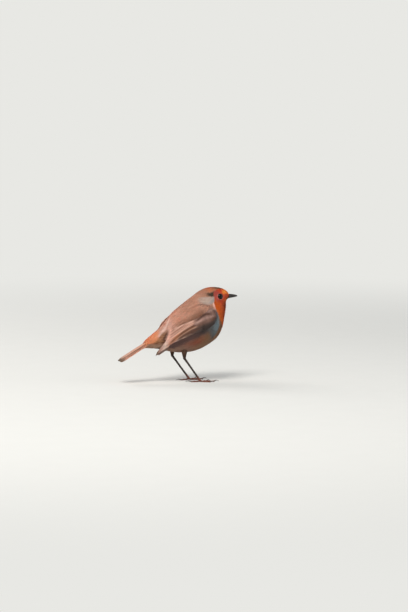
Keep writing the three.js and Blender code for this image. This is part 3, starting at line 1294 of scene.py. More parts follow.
PLUMAGE = (
    Layer("nape", srgb(196, 144, 118), [(On.STATION, 6.5, 7.8)]),
    Layer("crown", srgb(214, 134, 94), [(On.STATION, 7.7, 8.8), (On.ANGLE, 125, 150)]),
    Layer("fore crown", srgb(142, 98, 66), [(On.STATION, 8.8, 10.4), (On.ANGLE, 128, 152)]),
    Layer("low back", srgb(228, 174, 150), [(On.STATION, 4.6, 3.0), (On.ANGLE, 126, 138)], 0.7),
    Layer("rump", srgb(220, 174, 156), [(On.STATION, 2.9, 2.2), (On.ANGLE, 168, 150, 0.55)]),
    Layer("tail coverts", srgb(236, 160, 116), [(On.STATION, 1.2, 0.75)]),
    # A pale streak over the rump, partly the feathers' pale fringes and partly a painted sheen.
    Layer(
        "rump streak", srgb(246, 218, 206), [(On.ANGLE, 112, 124), (On.ANGLE, 178, 166)], 0.85,
        [(On.STREAK, 0, 0.24)],
    ),
    Layer(
        "scapulars", srgb(144, 100, 78),
        [(On.ANGLE, 132, 112), (On.STATION, 2.6, 3.4), (On.STATION, 6.4, 5.4)], 0.9,
    ),
    Layer("under parts", UNDER_PARTS, [(On.BELOW, 0, 1)]),
    Layer("hollow behind the wing", srgb(164, 112, 72), BEHIND_WING, 0.8),
    # Painted shade in the hollow behind the wing: dark lines across the coverts, and a dark band
    # along the wing's rear edge.
    Layer("its streaks", COVERT_SHADE, [(On.LINES, 0.1, 0.9), *BEHIND_WING], 0.6),
    Layer(
        "its shade", COVERT_SHADE, [(On.ANGLE, 54, 66), (On.ANGLE, 130, 108)], 0.9,
        [(On.WING, 0, 0.15)],
    ),
    Layer(
        "band beside the bib", BAND,
        [(On.BAND, -4, 3), (On.ANGLE, 90, 80), (On.STATION, 5.1, 5.7), (On.OUT, -0.3, 0.1)],
    ),
    Layer(
        "its pale edge", srgb(250, 206, 190),
        [(On.OUT, 0.36, 0.14), (On.ANGLE, 84, 92), (On.ANGLE, 118, 106)],
    ),
    Layer(
        "side of the neck", NECK,
        [(On.NECK_LOW, -5, 3), (On.NECK_TOP, 4, -3), (On.STATION, 5.8, 6.8),
         (On.STATION, 8.75, 8.4)],
    ),
    # Painted shade on the body just ahead of the folded wing's bend.
    Layer("bend", srgb(80, 70, 74), [*AHEAD_OF_WING, (On.OUT, 0.0, 0.2), (On.ANGLE, 98, 86)], 0.7),
    Layer(
        "ear", srgb(54, 54, 42),
        [(On.NECK_TOP, -1, 5), (On.NECK_TOP, 24, 15), (On.STATION, 7.5, 8.2),
         (On.STATION, 9.5, 8.9)], 0.95,
    ),
    Layer("bib", BIB, [(On.OUT, 0.1, -0.15)]),
)


@dataclass(frozen=True)
class Markings:
    """The colours of the plumage over the body, with painted shade and sheen, the same for skin and
    coat.

    The fields are lines drawn on the body: pairs of tables, the second read at places between the
    numbers of the first. They give a station for an angle, or an angle for a station.
    """

    bib: Table = (
        (0, 21, 32, 48, 65, 88, 95, 102, 116, 130, 141, 150, 165, 180),
        (6.45, 6.6, 7.0, 7.1, 7.2, 7.43, 7.62, 7.78, 8.4, 8.85, 9.8, 10.75, 11.1, 11.2),
    )
    # The lower limit of the painted shade under the wing.
    slate_low: Table = (
        (1.2, 1.7, 2.2, 2.6, 3.2, 3.7, 4.55, 5.1, 5.6), (36, 36, 42, 54, 64, 69, 70, 68, 70),
    )
    band_front: Table = ((5.2, 5.7, 6.1, 6.8, 7.3), (38, 42, 46, 56, 74))
    wing_front: Table = (
        (66, 70, 77, 82, 92, 100, 108, 118), (6.6, 6.75, 6.93, 7.12, 7.18, 7.2, 7.05, 6.75),
    )
    wing_rear: Table = ((60, 66, 74, 92, 104, 112, 125), (1.12, 1.2, 1.3, 1.42, 1.56, 1.66, 1.8))
    rump_streak: Table = ((112, 121, 141, 151, 168, 180), (0.94, 1.04, 1.48, 1.84, 2.38, 2.6))
    forehead_rear: Table = ((100, 110, 127, 152, 180), (10.2, 10.42, 10.75, 11.05, 11.3))
    neck_top: Table = ((5.9, 6.55, 7.5, 8.4), (153, 147, 131, 116))
    neck_low: Table = ((5.85, 6.03, 6.8, 7.7, 8.4), (140, 135, 117, 106, 100))
    belly_top: Table = ((2, 3), (88, 98))
    belly_whole: float = 76

    def places(self, station: Array, turn: Array) -> Places:
        """All measures at places on the body.

        Args:
            station: Stations.
            turn: Turns from the middle of the back.

        Returns:
            The values of each measure.
        """
        angle = np.degrees(math.pi - np.abs((turn + math.pi) % TURN - math.pi))
        low, high = self.belly_top[1]
        limit = lerp(low, high, ease(*self.belly_top[0], station))
        behind = station - np.interp(angle, *self.wing_rear)
        return {
            On.STATION: station,
            On.ANGLE: angle,
            On.BELOW: (angle - limit) / (self.belly_whole - limit),
            On.OUT: np.interp(angle, *self.bib) - station,
            On.BAND: angle - np.interp(station, *self.band_front),
            On.SLATE: angle - np.interp(station, *self.slate_low),
            On.NECK_TOP: angle - np.interp(station, *self.neck_top),
            On.NECK_LOW: angle - np.interp(station, *self.neck_low),
            On.BEND: station - np.interp(angle, *self.wing_front),
            On.WING: behind,
            On.LINES: np.cos(behind * TURN / 0.21 + angle / 40),
            On.STREAK: station - np.interp(angle, *self.rump_streak),
            On.FOREHEAD: station - np.interp(angle, *self.forehead_rear),
        }

    @staticmethod
    def streaks(station: Array, angle: Array) -> Array:
        """Faint broken streaks along the body: a wave over the angle times one over the station.

        Args:
            station: Stations.
            angle: Degrees from the middle of the breast.

        Returns:
            What they add, as a share of the colour's light.
        """
        line = np.cos(angle * TURN / 9.5 + 1.6 * np.sin(station * 2.3))
        breaks = 0.6 + 0.4 * np.cos(station * TURN / 1.6 + angle / 9)
        deep = 0.045 + 0.06 * ease(70, 100, angle) * ease(146, 120, angle) * ease(2.4, 3.4, station)
        return line * breaks * deep * ease(8.4, 7.0, station)

    def colour(self, station: Array, turn: Array) -> Array:
        """The colour at places on the body.

        Args:
            station: Stations.
            turn: Turns from the middle of the back.

        Returns:
            Colours in linear light.
        """
        station, turn = np.broadcast_arrays(np.asarray(station, float), np.asarray(turn, float))
        places = self.places(station, turn)
        streaks = self.streaks(station, places[On.ANGLE])
        return painted(MANTLE, PLUMAGE, places) * (1 + streaks)[..., None]


# The coat


@dataclass(frozen=True)
class Tuft:
    """The outline of one small feather, which all of its kind share.

    Attributes:
        along: Each point's share of the length.
        across: Each point's share of the half width.
        under: 1 for the point below the vane, which closes the feather.
        faces: Triangles.
    """

    along: Array
    across: Array
    under: Array
    faces: NDArray[np.int64]

    @staticmethod
    def cut(half: Sequence[tuple[float, float, int]], shaft: Sequence[float], tip: float) -> "Tuft":
        """A feather with a frayed edge.

        Args:
            half: Points of one edge from root to tip: along, across, and the shaft point they join.
            shaft: Places of the shaft's points along the feather.
            tip: How far the last point reaches.

        Returns:
            The feather: a fan of triangles on top and a flat cone beneath.
        """
        left = [(a * 0.97, -c, k) for a, c, k in half]
        rim = [(0.0, 0.0, 0), *half, (tip, 0.08, len(shaft) - 1), *left[::-1]]
        points = [(a, c) for a, c, _ in rim] + [(a, 0.0) for a in shaft] + [(0.45, 0.0)]
        below = len(points) - 1
        faces = []
        for i, (_, _, k) in enumerate(rim):
            j = (i + 1) % len(rim)
            n = rim[j][2]
            faces.append((j, i, len(rim) + k))
            if n != k:
                faces.append((len(rim) + n, j, len(rim) + k))
            faces.append((i, j, below))
        spots = np.array(points)
        under = np.zeros(len(points))
        under[below] = 1
        return Tuft(spots[:, 0], spots[:, 1], under, np.array(faces))

    def shell(self, points: Array, chart: Array, run: float = 0.003, **carried: Array) -> Shell:
        """Feathers of this outline as one mesh, in which each has its own few points.

        Args:
            points: Places by feather, by point of the outline, by axis.
            chart: Each feather's place on the baking map.
            run: How far it runs up the map from there.
            **carried: Values of each feather.

        Returns:
            The feathers.
        """
        count, size = points.shape[:2]
        faces = (self.faces[None] + size * np.arange(count)[:, None, None]).reshape(-1, 3)
        spread_out = np.stack([self.across * 0.0015, self.along * run], -1)
        values = {"along": np.tile(self.along, count), "across": np.tile(self.across, count)}
        values |= {name: np.repeat(value, size, axis=0) for name, value in carried.items()}
        chart = (chart[:, None] + spread_out).reshape(-1, 2)[faces]
        return Shell(points.reshape(-1, 3), [faces], [chart], values, [False])


FRAYED = Tuft.cut(
    [
        (0.10, 0.30, 0), (0.32, 0.66, 0), (0.74, 0.96, 1), (0.48, 0.64, 1), (0.88, 0.74, 2),
        (0.57, 0.44, 2), (0.98, 0.46, 3), (0.66, 0.24, 3), (1.04, 0.20, 4), (0.76, 0.07, 4),
    ],
    [0.12, 0.30, 0.40, 0.49, 0.60],
    1.10,
)
SHORT = Tuft.cut(
    [
        (0.12, 0.42, 0), (0.34, 0.8, 0), (0.80, 0.95, 1), (0.54, 0.52, 1), (0.98, 0.48, 2),
        (0.68, 0.13, 2),
    ],
    [0.14, 0.34, 0.52],
    1.08,
)


@dataclass
class Coat:
    """The contour feathers over trunk, neck and head.

    Attributes:
        body: The form it lies on.
        markings: What colours it.
        finish: The feathers' finish.
        seed: The start of the random numbers.
        above: A feather's length on the back, by station.
        below: The same on the belly.
        depths: How far below the surface its root is, by station.
        slim: Its width as a share of its length.
        layers: How many feathers lie over each place.
        eye_flow: The radius round which the lay parts.
        eye_clear: The radius in which no feather has its root.
        lid_reach: The radius that a feather's tip keeps clear of.
        puffs: Where the throat stands out: the station, how far along the body, how high.
    """

    body: DrapedBody
    markings: Markings
    finish: Finish
    seed: int = 11
    above: Table = (
        (0, 1, 2.5, 4, 6, 7, 8, 9, 10, 11, 12, 13),
        (5.2, 5.2, 5.2, 5.3, 5.0, 4.3, 3.4, 2.7, 2.2, 1.8, 1.3, 0.9),
    )
    below: Table = (
        (0, 1, 2.5, 4, 6, 7, 8, 9, 10, 11, 12, 13),
        (7.6, 7.2, 7.0, 6.6, 5.6, 4.8, 3.8, 2.8, 2.0, 1.5, 1.2, 0.9),
    )
    depths: Table = ((0, 6, 8, 10, 13), (0.8, 0.85, 0.7, 0.42, 0.3))
    slim: float = 0.36
    layers: float = 6.5
    eye_flow: float = 3.4
    eye_clear: float = 3.04
    lid_reach: float = 2.95
    puffs: tuple[tuple[float, float, float], ...] = ((9.4, 1.0, 1.2), (7.1, 1.0, 0.7))

    def length(self, station: Array, turn: Array) -> Array:
        """A feather's length at each place, from its station and turn."""
        down = ease(0.2, 0.8, (1 - np.cos(turn)) / 2)
        return lerp(np.interp(station, *self.above), np.interp(station, *self.below), down)

    def depth(self, station: Array) -> Array:
        """How deep the coat is at each station."""
        return np.interp(station, *self.depths)

    def scatter(self) -> tuple[Array, Array]:
        """Even but unordered roots over the whole body.

        A two-way low-discrepancy sequence is warped so that the number of roots follows the area
        over a feather's own size.

        Returns:
            The roots' stations and turns.
        """
        rows, columns = 260, 180
        station = (np.arange(rows) + 0.5) * LAST_STATION / rows
        turn = (np.arange(columns) + 0.5) * TURN / columns - math.pi
        station, turn = np.meshgrid(station, turn, indexing="ij")
        here = self.body.spot(station, turn)
        area = np.linalg.norm(np.cross(here.along, here.round), axis=-1)
        area = area * LAST_STATION / rows * TURN / columns
        length = self.length(station, turn)
        share = area * self.layers / (0.62 * self.slim * length**2)
        total = int(share.sum())
        first, second = scattered(total)
        by_row = np.concatenate([[0], np.cumsum(share.sum(1))])
        row = np.interp(first * by_row[-1], by_row, np.arange(rows + 1))
        cell = np.clip(row.astype(int), 0, rows - 1)
        steps = np.cumsum(share, axis=1) / share.sum(1, keepdims=True)
        ladder = (steps + np.arange(rows)[:, None]).ravel()
        at = np.clip(np.searchsorted(ladder, cell + second) - cell * columns, 0, columns - 1)
        before = np.where(at > 0, steps[cell, at - 1], 0)
        within = (second - before) / np.maximum(steps[cell, at] - before, 1e-9)
        return row * LAST_STATION / rows, (at + within) * TURN / columns - math.pi

    @staticmethod
    def from_eye(point: Array) -> tuple[Array, Array]:
        """Where points lie from the eye of their own side.

        Args:
            point: The points.

        Returns:
            Their offsets from it, and their distances from the line along which it looks.
        """
        side = np.where(point[:, 1:2] < 0, -1.0, 1.0) * [[0, 1, 0]] + [[1, 0, 1]]
        off = point - EYE_CENTRE * side
        look = unit(EYE_LOOK) * side
        ahead = np.sum(off * look, 1, keepdims=True)
        return off, np.where(ahead[:, 0] > 0, np.linalg.norm(off - look * ahead, axis=1), 99)

    def uncovered(self, station: Array, turn: Array) -> NDArray[np.bool_]:
        """Which roots stay: those clear of the eyes, and of the wings but for scapulars and rump.

        Args:
            station: The roots' stations.
            turn: Their turns.

        Returns:
            True for those that stay.
        """
        point = self.body.plain(station, turn)
        inside = self.body.read("inside", point) > 0.5
        reach = self.body.read("reach", point)
        rear = (reach > 0.42) & (self.body.read("rise", point) > 0.55)
        shown = ~inside | (reach < 0.06) | rear | (self.body.read("over", point) > 0)
        return shown & (self.from_eye(point)[1] > self.eye_clear)

    def around_eye(self, here: Spot, forward: Array, side: Array) -> tuple[Array, Array]:
        """The lay round the eye, as of a stream round a disc.

        With x and y measured from the eye in units of the disc, the stream is
        (1 - (x2 - y2) / r4, -2xy / r4).

        Args:
            here: The roots' places on the body.
            forward: The plain lay at each.
            side: The way across it.

        Returns:
            The stream's two parts, along and across the plain lay.
        """
        off = self.from_eye(here.point)[0]
        x = np.sum(off * forward, 1) / self.eye_flow
        y = np.sum(off * side, 1) / self.eye_flow
        far = np.maximum(x * x + y * y, 0.8)
        return 1 - (x * x - y * y) / far**2, -2 * x * y / far**2

    def lay(self, station: Array, turn: Array, tuft: Tuft, rng: np.random.Generator) -> Shell:
        """Lays a feather at each root.

        A point of the outline is a step along and across the skin. The step is turned into a change
        of station and turn by the surface's own two directions, and the surface there, raised along
        its normal, gives the point. The rise goes from the coat's depth below at the root to just
        above at the tip. Near an eye a feather is short enough to leave the lids in sight.

        Args:
            station: The roots' stations.
            turn: Their turns.
            tuft: The outline of each feather.
            rng: The source of chance.

        Returns:
            The feathers.
        """
        count = len(station)
        here = self.body.spot(station, turn)
        forward = unit(-here.along)
        side = np.cross(here.outward, forward)
        ahead, aside = self.around_eye(here, forward, side)
        heading = np.arctan2(aside, ahead) + rng.normal(0, 0.10, count)
        way = forward * np.cos(heading)[:, None] + side * np.sin(heading)[:, None]
        cross = np.cross(here.outward, way)
        length = self.length(station, turn) * rng.uniform(0.85, 1.15, count)
        off, far = self.from_eye(here.point)
        places = self.markings.places(station, turn)
        length = length * lerp(1, 0.78, met(AHEAD_OF_WING, places))
        length = np.minimum(length, np.maximum(0.55 * (far - 1.2), 0.9))
        short = np.minimum(length, np.maximum(far - self.lid_reach, 0.3))
        length = np.where(np.sum(unit(off) * way, 1) < -0.25, short, length)
        half = length * self.slim / 2 * rng.uniform(0.9, 1.15, count)
        step = (length[:, None] * tuft.along)[..., None] * way[:, None]
        step = step + (half[:, None] * tuft.across)[..., None] * cross[:, None]
        g11 = np.sum(here.along**2, 1)[:, None]
        g22 = np.sum(here.round**2, 1)[:, None]
        g12 = np.sum(here.along * here.round, 1)[:, None]
        s1 = np.sum(step * here.along[:, None], -1)
        s2 = np.sum(step * here.round[:, None], -1)
        scale = g11 * g22 - g12 * g12
        d_station = (s1 * g22 - s2 * g12) / scale
        d_turn = np.clip((s2 * g11 - s1 * g12) / scale, -1.2, 1.2)
        moved = np.clip(station[:, None] + d_station, -1.2, 13.2)
        there = self.body.spot(moved, turn[:, None] + d_turn)
        depth = self.depth(station)[:, None]
        lift = rng.normal(0, 0.05, count)[:, None] * length[:, None] / 4
        puff = sum(high * bell((station - middle) / wide) for middle, wide, high in self.puffs)
        puff = puff * ease(75, 35, places[On.ANGLE])
        rise = -depth * (1 - np.clip(tuft.along, 0, 1)) ** 1.5
        rise = rise + (0.05 + lift + puff[:, None]) * tuft.along
        rise = rise - 0.12 * half[:, None] * tuft.across**2 - 0.05 * half[:, None] * tuft.under
        points = there.point + rise[..., None] * there.outward
        tint = self.markings.colour(station - 0.55 * length / np.sqrt(g11[:, 0]), turn)
        tint = tint * (1 + rng.normal(0, 0.045, (count, 1)) + rng.normal(0, 0.016, (count, 3)))
        chart = np.stack([turn / TURN + 0.5, station / LAST_STATION], -1) * 0.98 + [0.01, 0.0115]
        tone = rng.normal(1, 0.035, count)
        return tuft.shell(points, chart, -0.003, tone=tone, tint=np.clip(tint, 0, 1))

    def build(self) -> None:
        """Lays the coat, tract by tract."""
        rng = np.random.default_rng(self.seed)
        station, turn = self.scatter()
        keep = self.uncovered(station, turn)
        station, turn = station[keep], turn[keep]
        low = np.cos(turn) < 0.1
        tracts = {
            "face": (station > 10.5, SHORT),
            "head": ((station > 8.2) & (station <= 10.5), SHORT),
            "throat": ((station > 6.2) & (station <= 8.2) & low, FRAYED),
            "neck": ((station > 6.2) & (station <= 8.2) & ~low, FRAYED),
            "back": ((station <= 6.2) & ~low, FRAYED),
            "belly": ((station <= 6.2) & low, FRAYED),
        }
        for name, (mask, tuft) in tracts.items():
            for side in Side:
                here = mask & ((turn < 0) == (side is Side.RIGHT))
                laid = self.lay(station[here], turn[here], tuft, rng)
                laid.piece(f"coat_{name}_{side.word}", self.finish, Slot.BODY)


# Legs


@dataclass(frozen=True)
class Toe:
    """One toe.

    Attributes:
        number: 1 for the hind toe, and 2 to 4 from the inner to the outer front toe.
        length: Its length from the middle of the foot.
        claw: Its claw's length.
        turn: The degrees by which it points away from the foot's heading.
        radius: Its radius at the root.
    """

    number: int
    length: float
    claw: float
    turn: float
    radius: float


TOES = (
    Toe(1, 8.6, 5.6, 176, 0.8),
    Toe(2, 9.8, 3.8, 31, 0.72),
    Toe(3, 14.6, 4.4, 0, 0.78),
    Toe(4, 10.8, 3.7, -33, 0.7),
)


@dataclass
class Leg:
    """A leg: its feathered thigh, bare shank, toes and claws.

    Attributes:
        side: Its side.
        knee: Where the thigh begins.
        ankle: Where the thigh ends and the shank begins.
        foot: Where the shank meets the toes.
        heading: The degrees by which the foot points to the left.
        thigh_top: The thigh's radius at the knee.
        thigh_end: The same at the ankle.
        knob: The shank's radius at the ankle.
        shaft: The same at its slimmest.
        heel: The same at the foot.
        shank_plates: How many plates the shank has.
        toe_plates: How many plates a millimetre of toe has.
        plate_rise: How much each swells the radius from its top to its lower edge.
        shank_colour: The shank's colour.
        foot_colour: The toes' colour.
        claw_colour: The claws' colour.
    """

    side: Side
    knee: tuple[float, float, float]
    ankle: tuple[float, float, float]
    foot: tuple[float, float, float]
    heading: float
    thigh_top: float = 4.6
    thigh_end: float = 1.15
    knob: float = 1.35
    shaft: float = 0.92
    heel: float = 1.25
    shank_plates: float = 8.0
    toe_plates: float = 0.95
    plate_rise: float = 0.07
    shank_colour: Array = held(srgb(46, 32, 20))
    foot_colour: Array = held(srgb(122, 66, 46))
    claw_colour: Array = held(srgb(58, 46, 40))

    def shank(self) -> Shell:
        """The bare shank: a slim tube with a knob at each end and overlapping plates down it.

        The knobs die away with high powers of the distance from their ends, and each plate rises
        evenly to the seam below it.

        Returns:
            The shank.
        """
        top, sole = np.array(self.ankle), np.array(self.foot)
        run = unit(sole - top)
        top, sole = top - run * self.knob, sole + run * self.heel
        length = float(np.linalg.norm(sole - top))
        count, sides = 90, 18
        far = (1 - np.cos(np.linspace(0, math.pi, count))) / 2
        knobs = (self.knob - self.shaft) * (1 - far) ** 6 + (self.heel - self.shaft) * far**7
        thick = self.shaft + knobs
        thick = thick * lerp(0.25, 1, rounded(np.minimum(far, 1 - far) * length / thick))
        front = ease(-0.2, 0.6, np.sin(around(sides)))[None]
        plate = (far * self.shank_plates)[:, None] % 1
        shown = ease(0.04, 0.1, far) * ease(0.97, 0.9, far)
        seam = ease(0.82, 0.98, plate) * front * shown[:, None]
        radius = thick[:, None] * (1 + self.plate_rise * front * (plate - 0.5) - 0.05 * seam)
        path = top + (sole - top) * far[:, None]
        tint = lerp(self.shank_colour, self.foot_colour, ease(0.72, 0.95, far)[:, None])
        tint = np.repeat(tint[:, None], sides, 1)
        return tube(limb(path, radius), (0, 0, 0.3, 1), seam=seam, tint=tint)

    def ground_path(self, toe: Toe, points: Sequence[tuple[float, float]], count: int) -> Array:
        """A path over the ground from the foot, the way a toe points.

        Args:
            toe: The toe.
            points: Distances and heights along the path.
            count: How many points to give.

        Returns:
            The path's points.
        """
        way = math.radians(self.heading - self.side.value * toe.turn)
        x, y, _ = self.foot
        ahead, aside = math.cos(way), math.sin(way)
        knots = [[x + far * ahead, y + far * aside, height] for far, height in points]
        return spline(np.array(knots), np.linspace(0, len(knots) - 1, count))

    def toe(self, toe: Toe, cell: Cell) -> Shell:
        """A toe with a pad below each joint, where a cosine swells it, and small plates above.

        Args:
            toe: Its sizes.
            cell: Its patch of the baking map.

        Returns:
            The toe.
        """
        length, count, sides = toe.length, 56, 16
        path = self.ground_path(toe, [
            (0.4, 1.3), (2.4, 0.7), (length * 0.4, 0.5), (length * 0.6, 0.72),
            (length * 0.78, 0.42), (length, 0.5),
        ], count)
        share = np.linspace(0, 1, count)
        pads = toe.radius * (1 - 0.28 * share) * (1 + 0.1 * np.cos(share * 6 * math.pi))
        end = np.minimum(share + 0.03, 1.02 - share) * length / toe.radius
        pads = pads * lerp(0.3, 1, rounded(end))
        above = ease(-0.1, 0.5, np.sin(around(sides)))[None]
        plate = (share * length * self.toe_plates)[:, None] % 1
        seam = ease(0.7, 0.95, plate) * above
        radius = pads[:, None] * (1 + self.plate_rise * above * (plate - 0.5) - 0.06 * seam)
        tint = np.broadcast_to(self.foot_colour, (count, sides, 3))
        return tube(limb(path, radius), cell, seam=seam, tint=tint)

    def claw(self, toe: Toe, cell: Cell) -> Shell:
        """A claw: a cone bent like a hook.

        Args:
            toe: The sizes of its toe.
            cell: Its patch of the baking map.

        Returns:
            The claw.
        """
        start, claw, count, sides = toe.length - 0.15, toe.claw + 0.35, 22, 12
        path = self.ground_path(toe, [
            (start, 0.62), (start + claw * 0.4, 1.25), (start + claw * 0.75, 1.05),
            (start + claw, 0.18),
        ], count)
        radius = lerp(0.5, 0.07, np.linspace(0, 1, count) ** 0.9)
        tint = np.broadcast_to(self.claw_colour, (count, sides, 3))
        return tube(limb(path, np.repeat(radius[:, None], sides, 1)), cell, tint=tint)

    def build(self) -> None:
        """Makes the bare leg and foot as one piece, and the claws as another."""
        side = self.side.word
        toes = [self.toe(toe, (0.32 + 0.17 * i, 0, 0.15, 1)) for i, toe in enumerate(TOES)]
        nodes = [f"shank_{side}"] + [f"toe_{side}_{toe.number}" for toe in TOES]
        leg = Shell.joined([self.shank(), *toes])
        leg.piece(f"leg_scales_{side}", ScaleFinish(), Slot.LEG, nodes)
        claws = [self.claw(toe, (0.25 * i, 0, 0.22, 1)) for i, toe in enumerate(TOES)]
        nodes = [f"claw_{side}_{toe.number}" for toe in TOES]
        Shell.joined(claws).piece(f"claws_horn_{side}", HornFinish(), Slot.CLAW, nodes)

    def thigh(self, station: Array, turn: Array, inset: float = 0.0) -> Array:
        """Points of the thigh, a cone: the middle line plus circles square to it.

        Args:
            station: From 0 at the knee to 1 at the ankle.
            turn: Angles round it.
            inset: How far within the outer surface.

        Returns:
            The points.
        """
        knee, ankle = np.array(self.knee), np.array(self.ankle)
        run = unit(ankle - knee)
        across = unit(np.cross([0.0, 1.0, 0.0], run))
        up = np.cross(run, across)
        radius = lerp(self.thigh_top, self.thigh_end, station)[..., None] - inset
        circle = across * np.cos(turn)[..., None] + up * np.sin(turn)[..., None]
        return knee + (ankle - knee) * station[..., None] + circle * radius


@dataclass
class Thighs:
    """The small feathers of both thighs, which point down the leg."""

    legs: Sequence[Leg]
    markings: Markings
    finish: Finish
    count: int = 520
    length: float = 2.6
    half: float = 0.55
    top: Array = held(srgb(104, 78, 62))
    hem: Array = held(srgb(66, 48, 36))
    seed: int = 5

    def feathers(self, leg: Leg, rng: np.random.Generator, shift: float) -> Shell:
        """Feathers of one thigh, laid like the coat, on the thigh's cone.

        Args:
            leg: The leg.
            rng: The source of chance.
            shift: Where their part of the baking map begins.

        Returns:
            The feathers.
        """
        first, second = scattered(self.count)
        station, turn = first * 1.02 - 0.02, second * TURN
        run = np.linalg.norm(np.subtract(leg.ankle, leg.knee))
        radius = lerp(leg.thigh_top, leg.thigh_end, np.clip(station, 0, 1))
        length = self.length * lerp(1, 0.75, station) * rng.uniform(0.8, 1.2, self.count)
        far = station[:, None] + length[:, None] * SHORT.along / run
        wide = turn[:, None] + self.half * SHORT.across / radius[:, None]
        wide = wide + rng.normal(0, 0.08, self.count)[:, None] * SHORT.along
        sunk = 0.45 * (1 - np.clip(SHORT.along, 0, 1)) ** 1.3
        sunk = sunk - 0.12 * SHORT.along + 0.06 * SHORT.under
        stop = np.minimum(far, 1.1)
        points = leg.thigh(stop, wide)
        outward = unit(points - leg.thigh(stop, wide, 1.0))
        points = points - outward * sunk[None, :, None]
        chart = np.stack([shift + turn / TURN * 0.46, 0.02 + station * 0.94], -1)
        tint = lerp(self.top, self.hem, ease(0.35, 0.85, station)[:, None])
        tint = tint * (1 + rng.normal(0, 0.05, (self.count, 1)))
        tone = rng.normal(1, 0.05, self.count)
        return SHORT.shell(points, chart, tone=tone, tint=tint).outward()

    def build(self) -> None:
        """Makes the feathers of both thighs one piece."""
        rng = np.random.default_rng(self.seed)
        shells = [self.feathers(leg, rng, 0.02 + 0.5 * i) for i, leg in enumerate(self.legs)]
        Shell.joined(shells).piece("coat_thighs", self.finish, Slot.BODY)


@dataclass
class Skin:
    """One skin for trunk, neck, head and thighs, inside them by the coat's depth."""

    body: Body
    coat: Coat
    legs: Sequence[Leg]
    rings: int = 120
    sides: int = 84
    thigh_inset: float = 0.55
    socket: float = 1.3
    thigh_colour: Array = held(srgb(120, 92, 70))

    def build(self) -> None:
        """Makes the skin: the body's form moved inwards, with a sleeve for each thigh."""
        station = np.linspace(0.05, LAST_STATION - 0.02, self.rings)
        turn = np.linspace(-math.pi, math.pi, self.sides, endpoint=False)
        station, turn = np.meshgrid(station, turn, indexing="ij")
        here = self.body.spot(station, turn)
        far = Coat.from_eye(here.point.reshape(-1, 3))[1].reshape(station.shape)
        inset = self.coat.depth(station) + self.socket * ease(3.6, 2.7, far)
        points = here.point - here.outward * inset[..., None]
        colour = self.coat.markings.colour(station, turn)
        shells = [tube(points, (0, 0, 0.8, 1), tint=colour)]
        share, turn = np.linspace(0, 1, 18), np.linspace(0, TURN, 24, endpoint=False)
        share, turn = np.meshgrid(share, turn, indexing="ij")
        for i, leg in enumerate(self.legs):
            sleeve = leg.thigh(share, turn, self.thigh_inset)
            tint = np.broadcast_to(self.thigh_colour, sleeve.shape)
            shells.append(tube(sleeve, (0.82, 0.5 * i, 0.16, 0.46), tint=tint))
        nodes = ["trunk", "neck", "head", "thigh_right", "thigh_left"]
        Shell.joined(shells).piece("skin", SkinFinish(), Slot.BODY, nodes)


# Bill and eyes


@dataclass
class Bill:
    """The bill's two halves, with nostrils and a hint of a hook."""

    culmen: Array = held(
        np.array([[48.6, 84.3], [52.6, 83.7], [56.5, 83.15], [58.9, 82.55], [60.3, 81.75]])
    )
    gape: Array = held(
        np.array([[48.6, 81.3], [53, 81.45], [57, 81.5], [59, 81.45], [60.1, 81.25]])
    )
    gonys: Array = held(
        np.array([[48.6, 79.0], [53, 79.7], [56.8, 80.3], [58.5, 80.65], [59.4, 80.9]])
    )
    base: float = 2.3
    tip: float = 0.22
    slit: float = 0.10
    nostril: tuple[float, float] = (0.2, math.radians(38))
    colour: Array = held(srgb(38, 34, 32))
    pale: Array = held(srgb(92, 72, 56))

    def half(self, outer: Array, side: int) -> Shell:
        """One half, from its outer line to the gape.

        Round each ring, rise = sin angle carries the point from the gape to the outer line and
        cos angle to the side. The nostril is a dimple on each side of the upper half.

        Args:
            outer: The outer line, in X and Z.
            side: 1 for the upper half, -1 for the lower.

        Returns:
            The half.
        """
        count, sides = 40, 32
        share = np.linspace(0, 1, count)
        rim, gape = spline(outer, share * 4), spline(self.gape, share * 4)
        wide = lerp(self.tip, self.base, (1 - share) ** 0.8)
        angle = TURN * np.arange(sides) / sides
        rise = np.maximum(np.sin(angle), 0)[None]
        low = gape[:, 1] + side * self.slit / 2
        x = lerp(gape[:, :1], rim[:, :1], rise)
        z = lerp(low[:, None], rim[:, 1:], rise**0.9)
        y = side * wide[:, None] * np.cos(angle) * (1 + 0.06 * np.sin(2 * angle) ** 2)
        far, middle = self.nostril
        from_side = math.pi / 2 - np.abs(angle - math.pi / 2)
        dimple = bell((share[:, None] - far) / 0.09) * bell((from_side - middle) / 0.28)
        dimple = dimple * (side > 0)
        rings = np.stack([x, y * (1 - 0.22 * dimple), z], -1)
        rings[0] = lerp(rings[0].mean(0), rings[0], 0.6)
        pale = ease(0.3, 0.0, share)[:, None, None] * 0.5 + 0.25 * rise[..., None]
        tint = lerp(self.colour, self.pale, pale) * (1 - 0.75 * dimple[..., None])
        return tube(rings, (0.02 + (0.5 if side < 0 else 0), 0, 0.46, 1), tint=tint)

    def build(self) -> None:
        """Makes each half a piece of its own."""
        self.half(self.culmen, 1).piece("bill_horn_upper", HornFinish(), Slot.BILL, ["bill_upper"])
        self.half(self.gonys, -1).piece("bill_horn_lower", HornFinish(), Slot.BILL, ["bill_lower"])


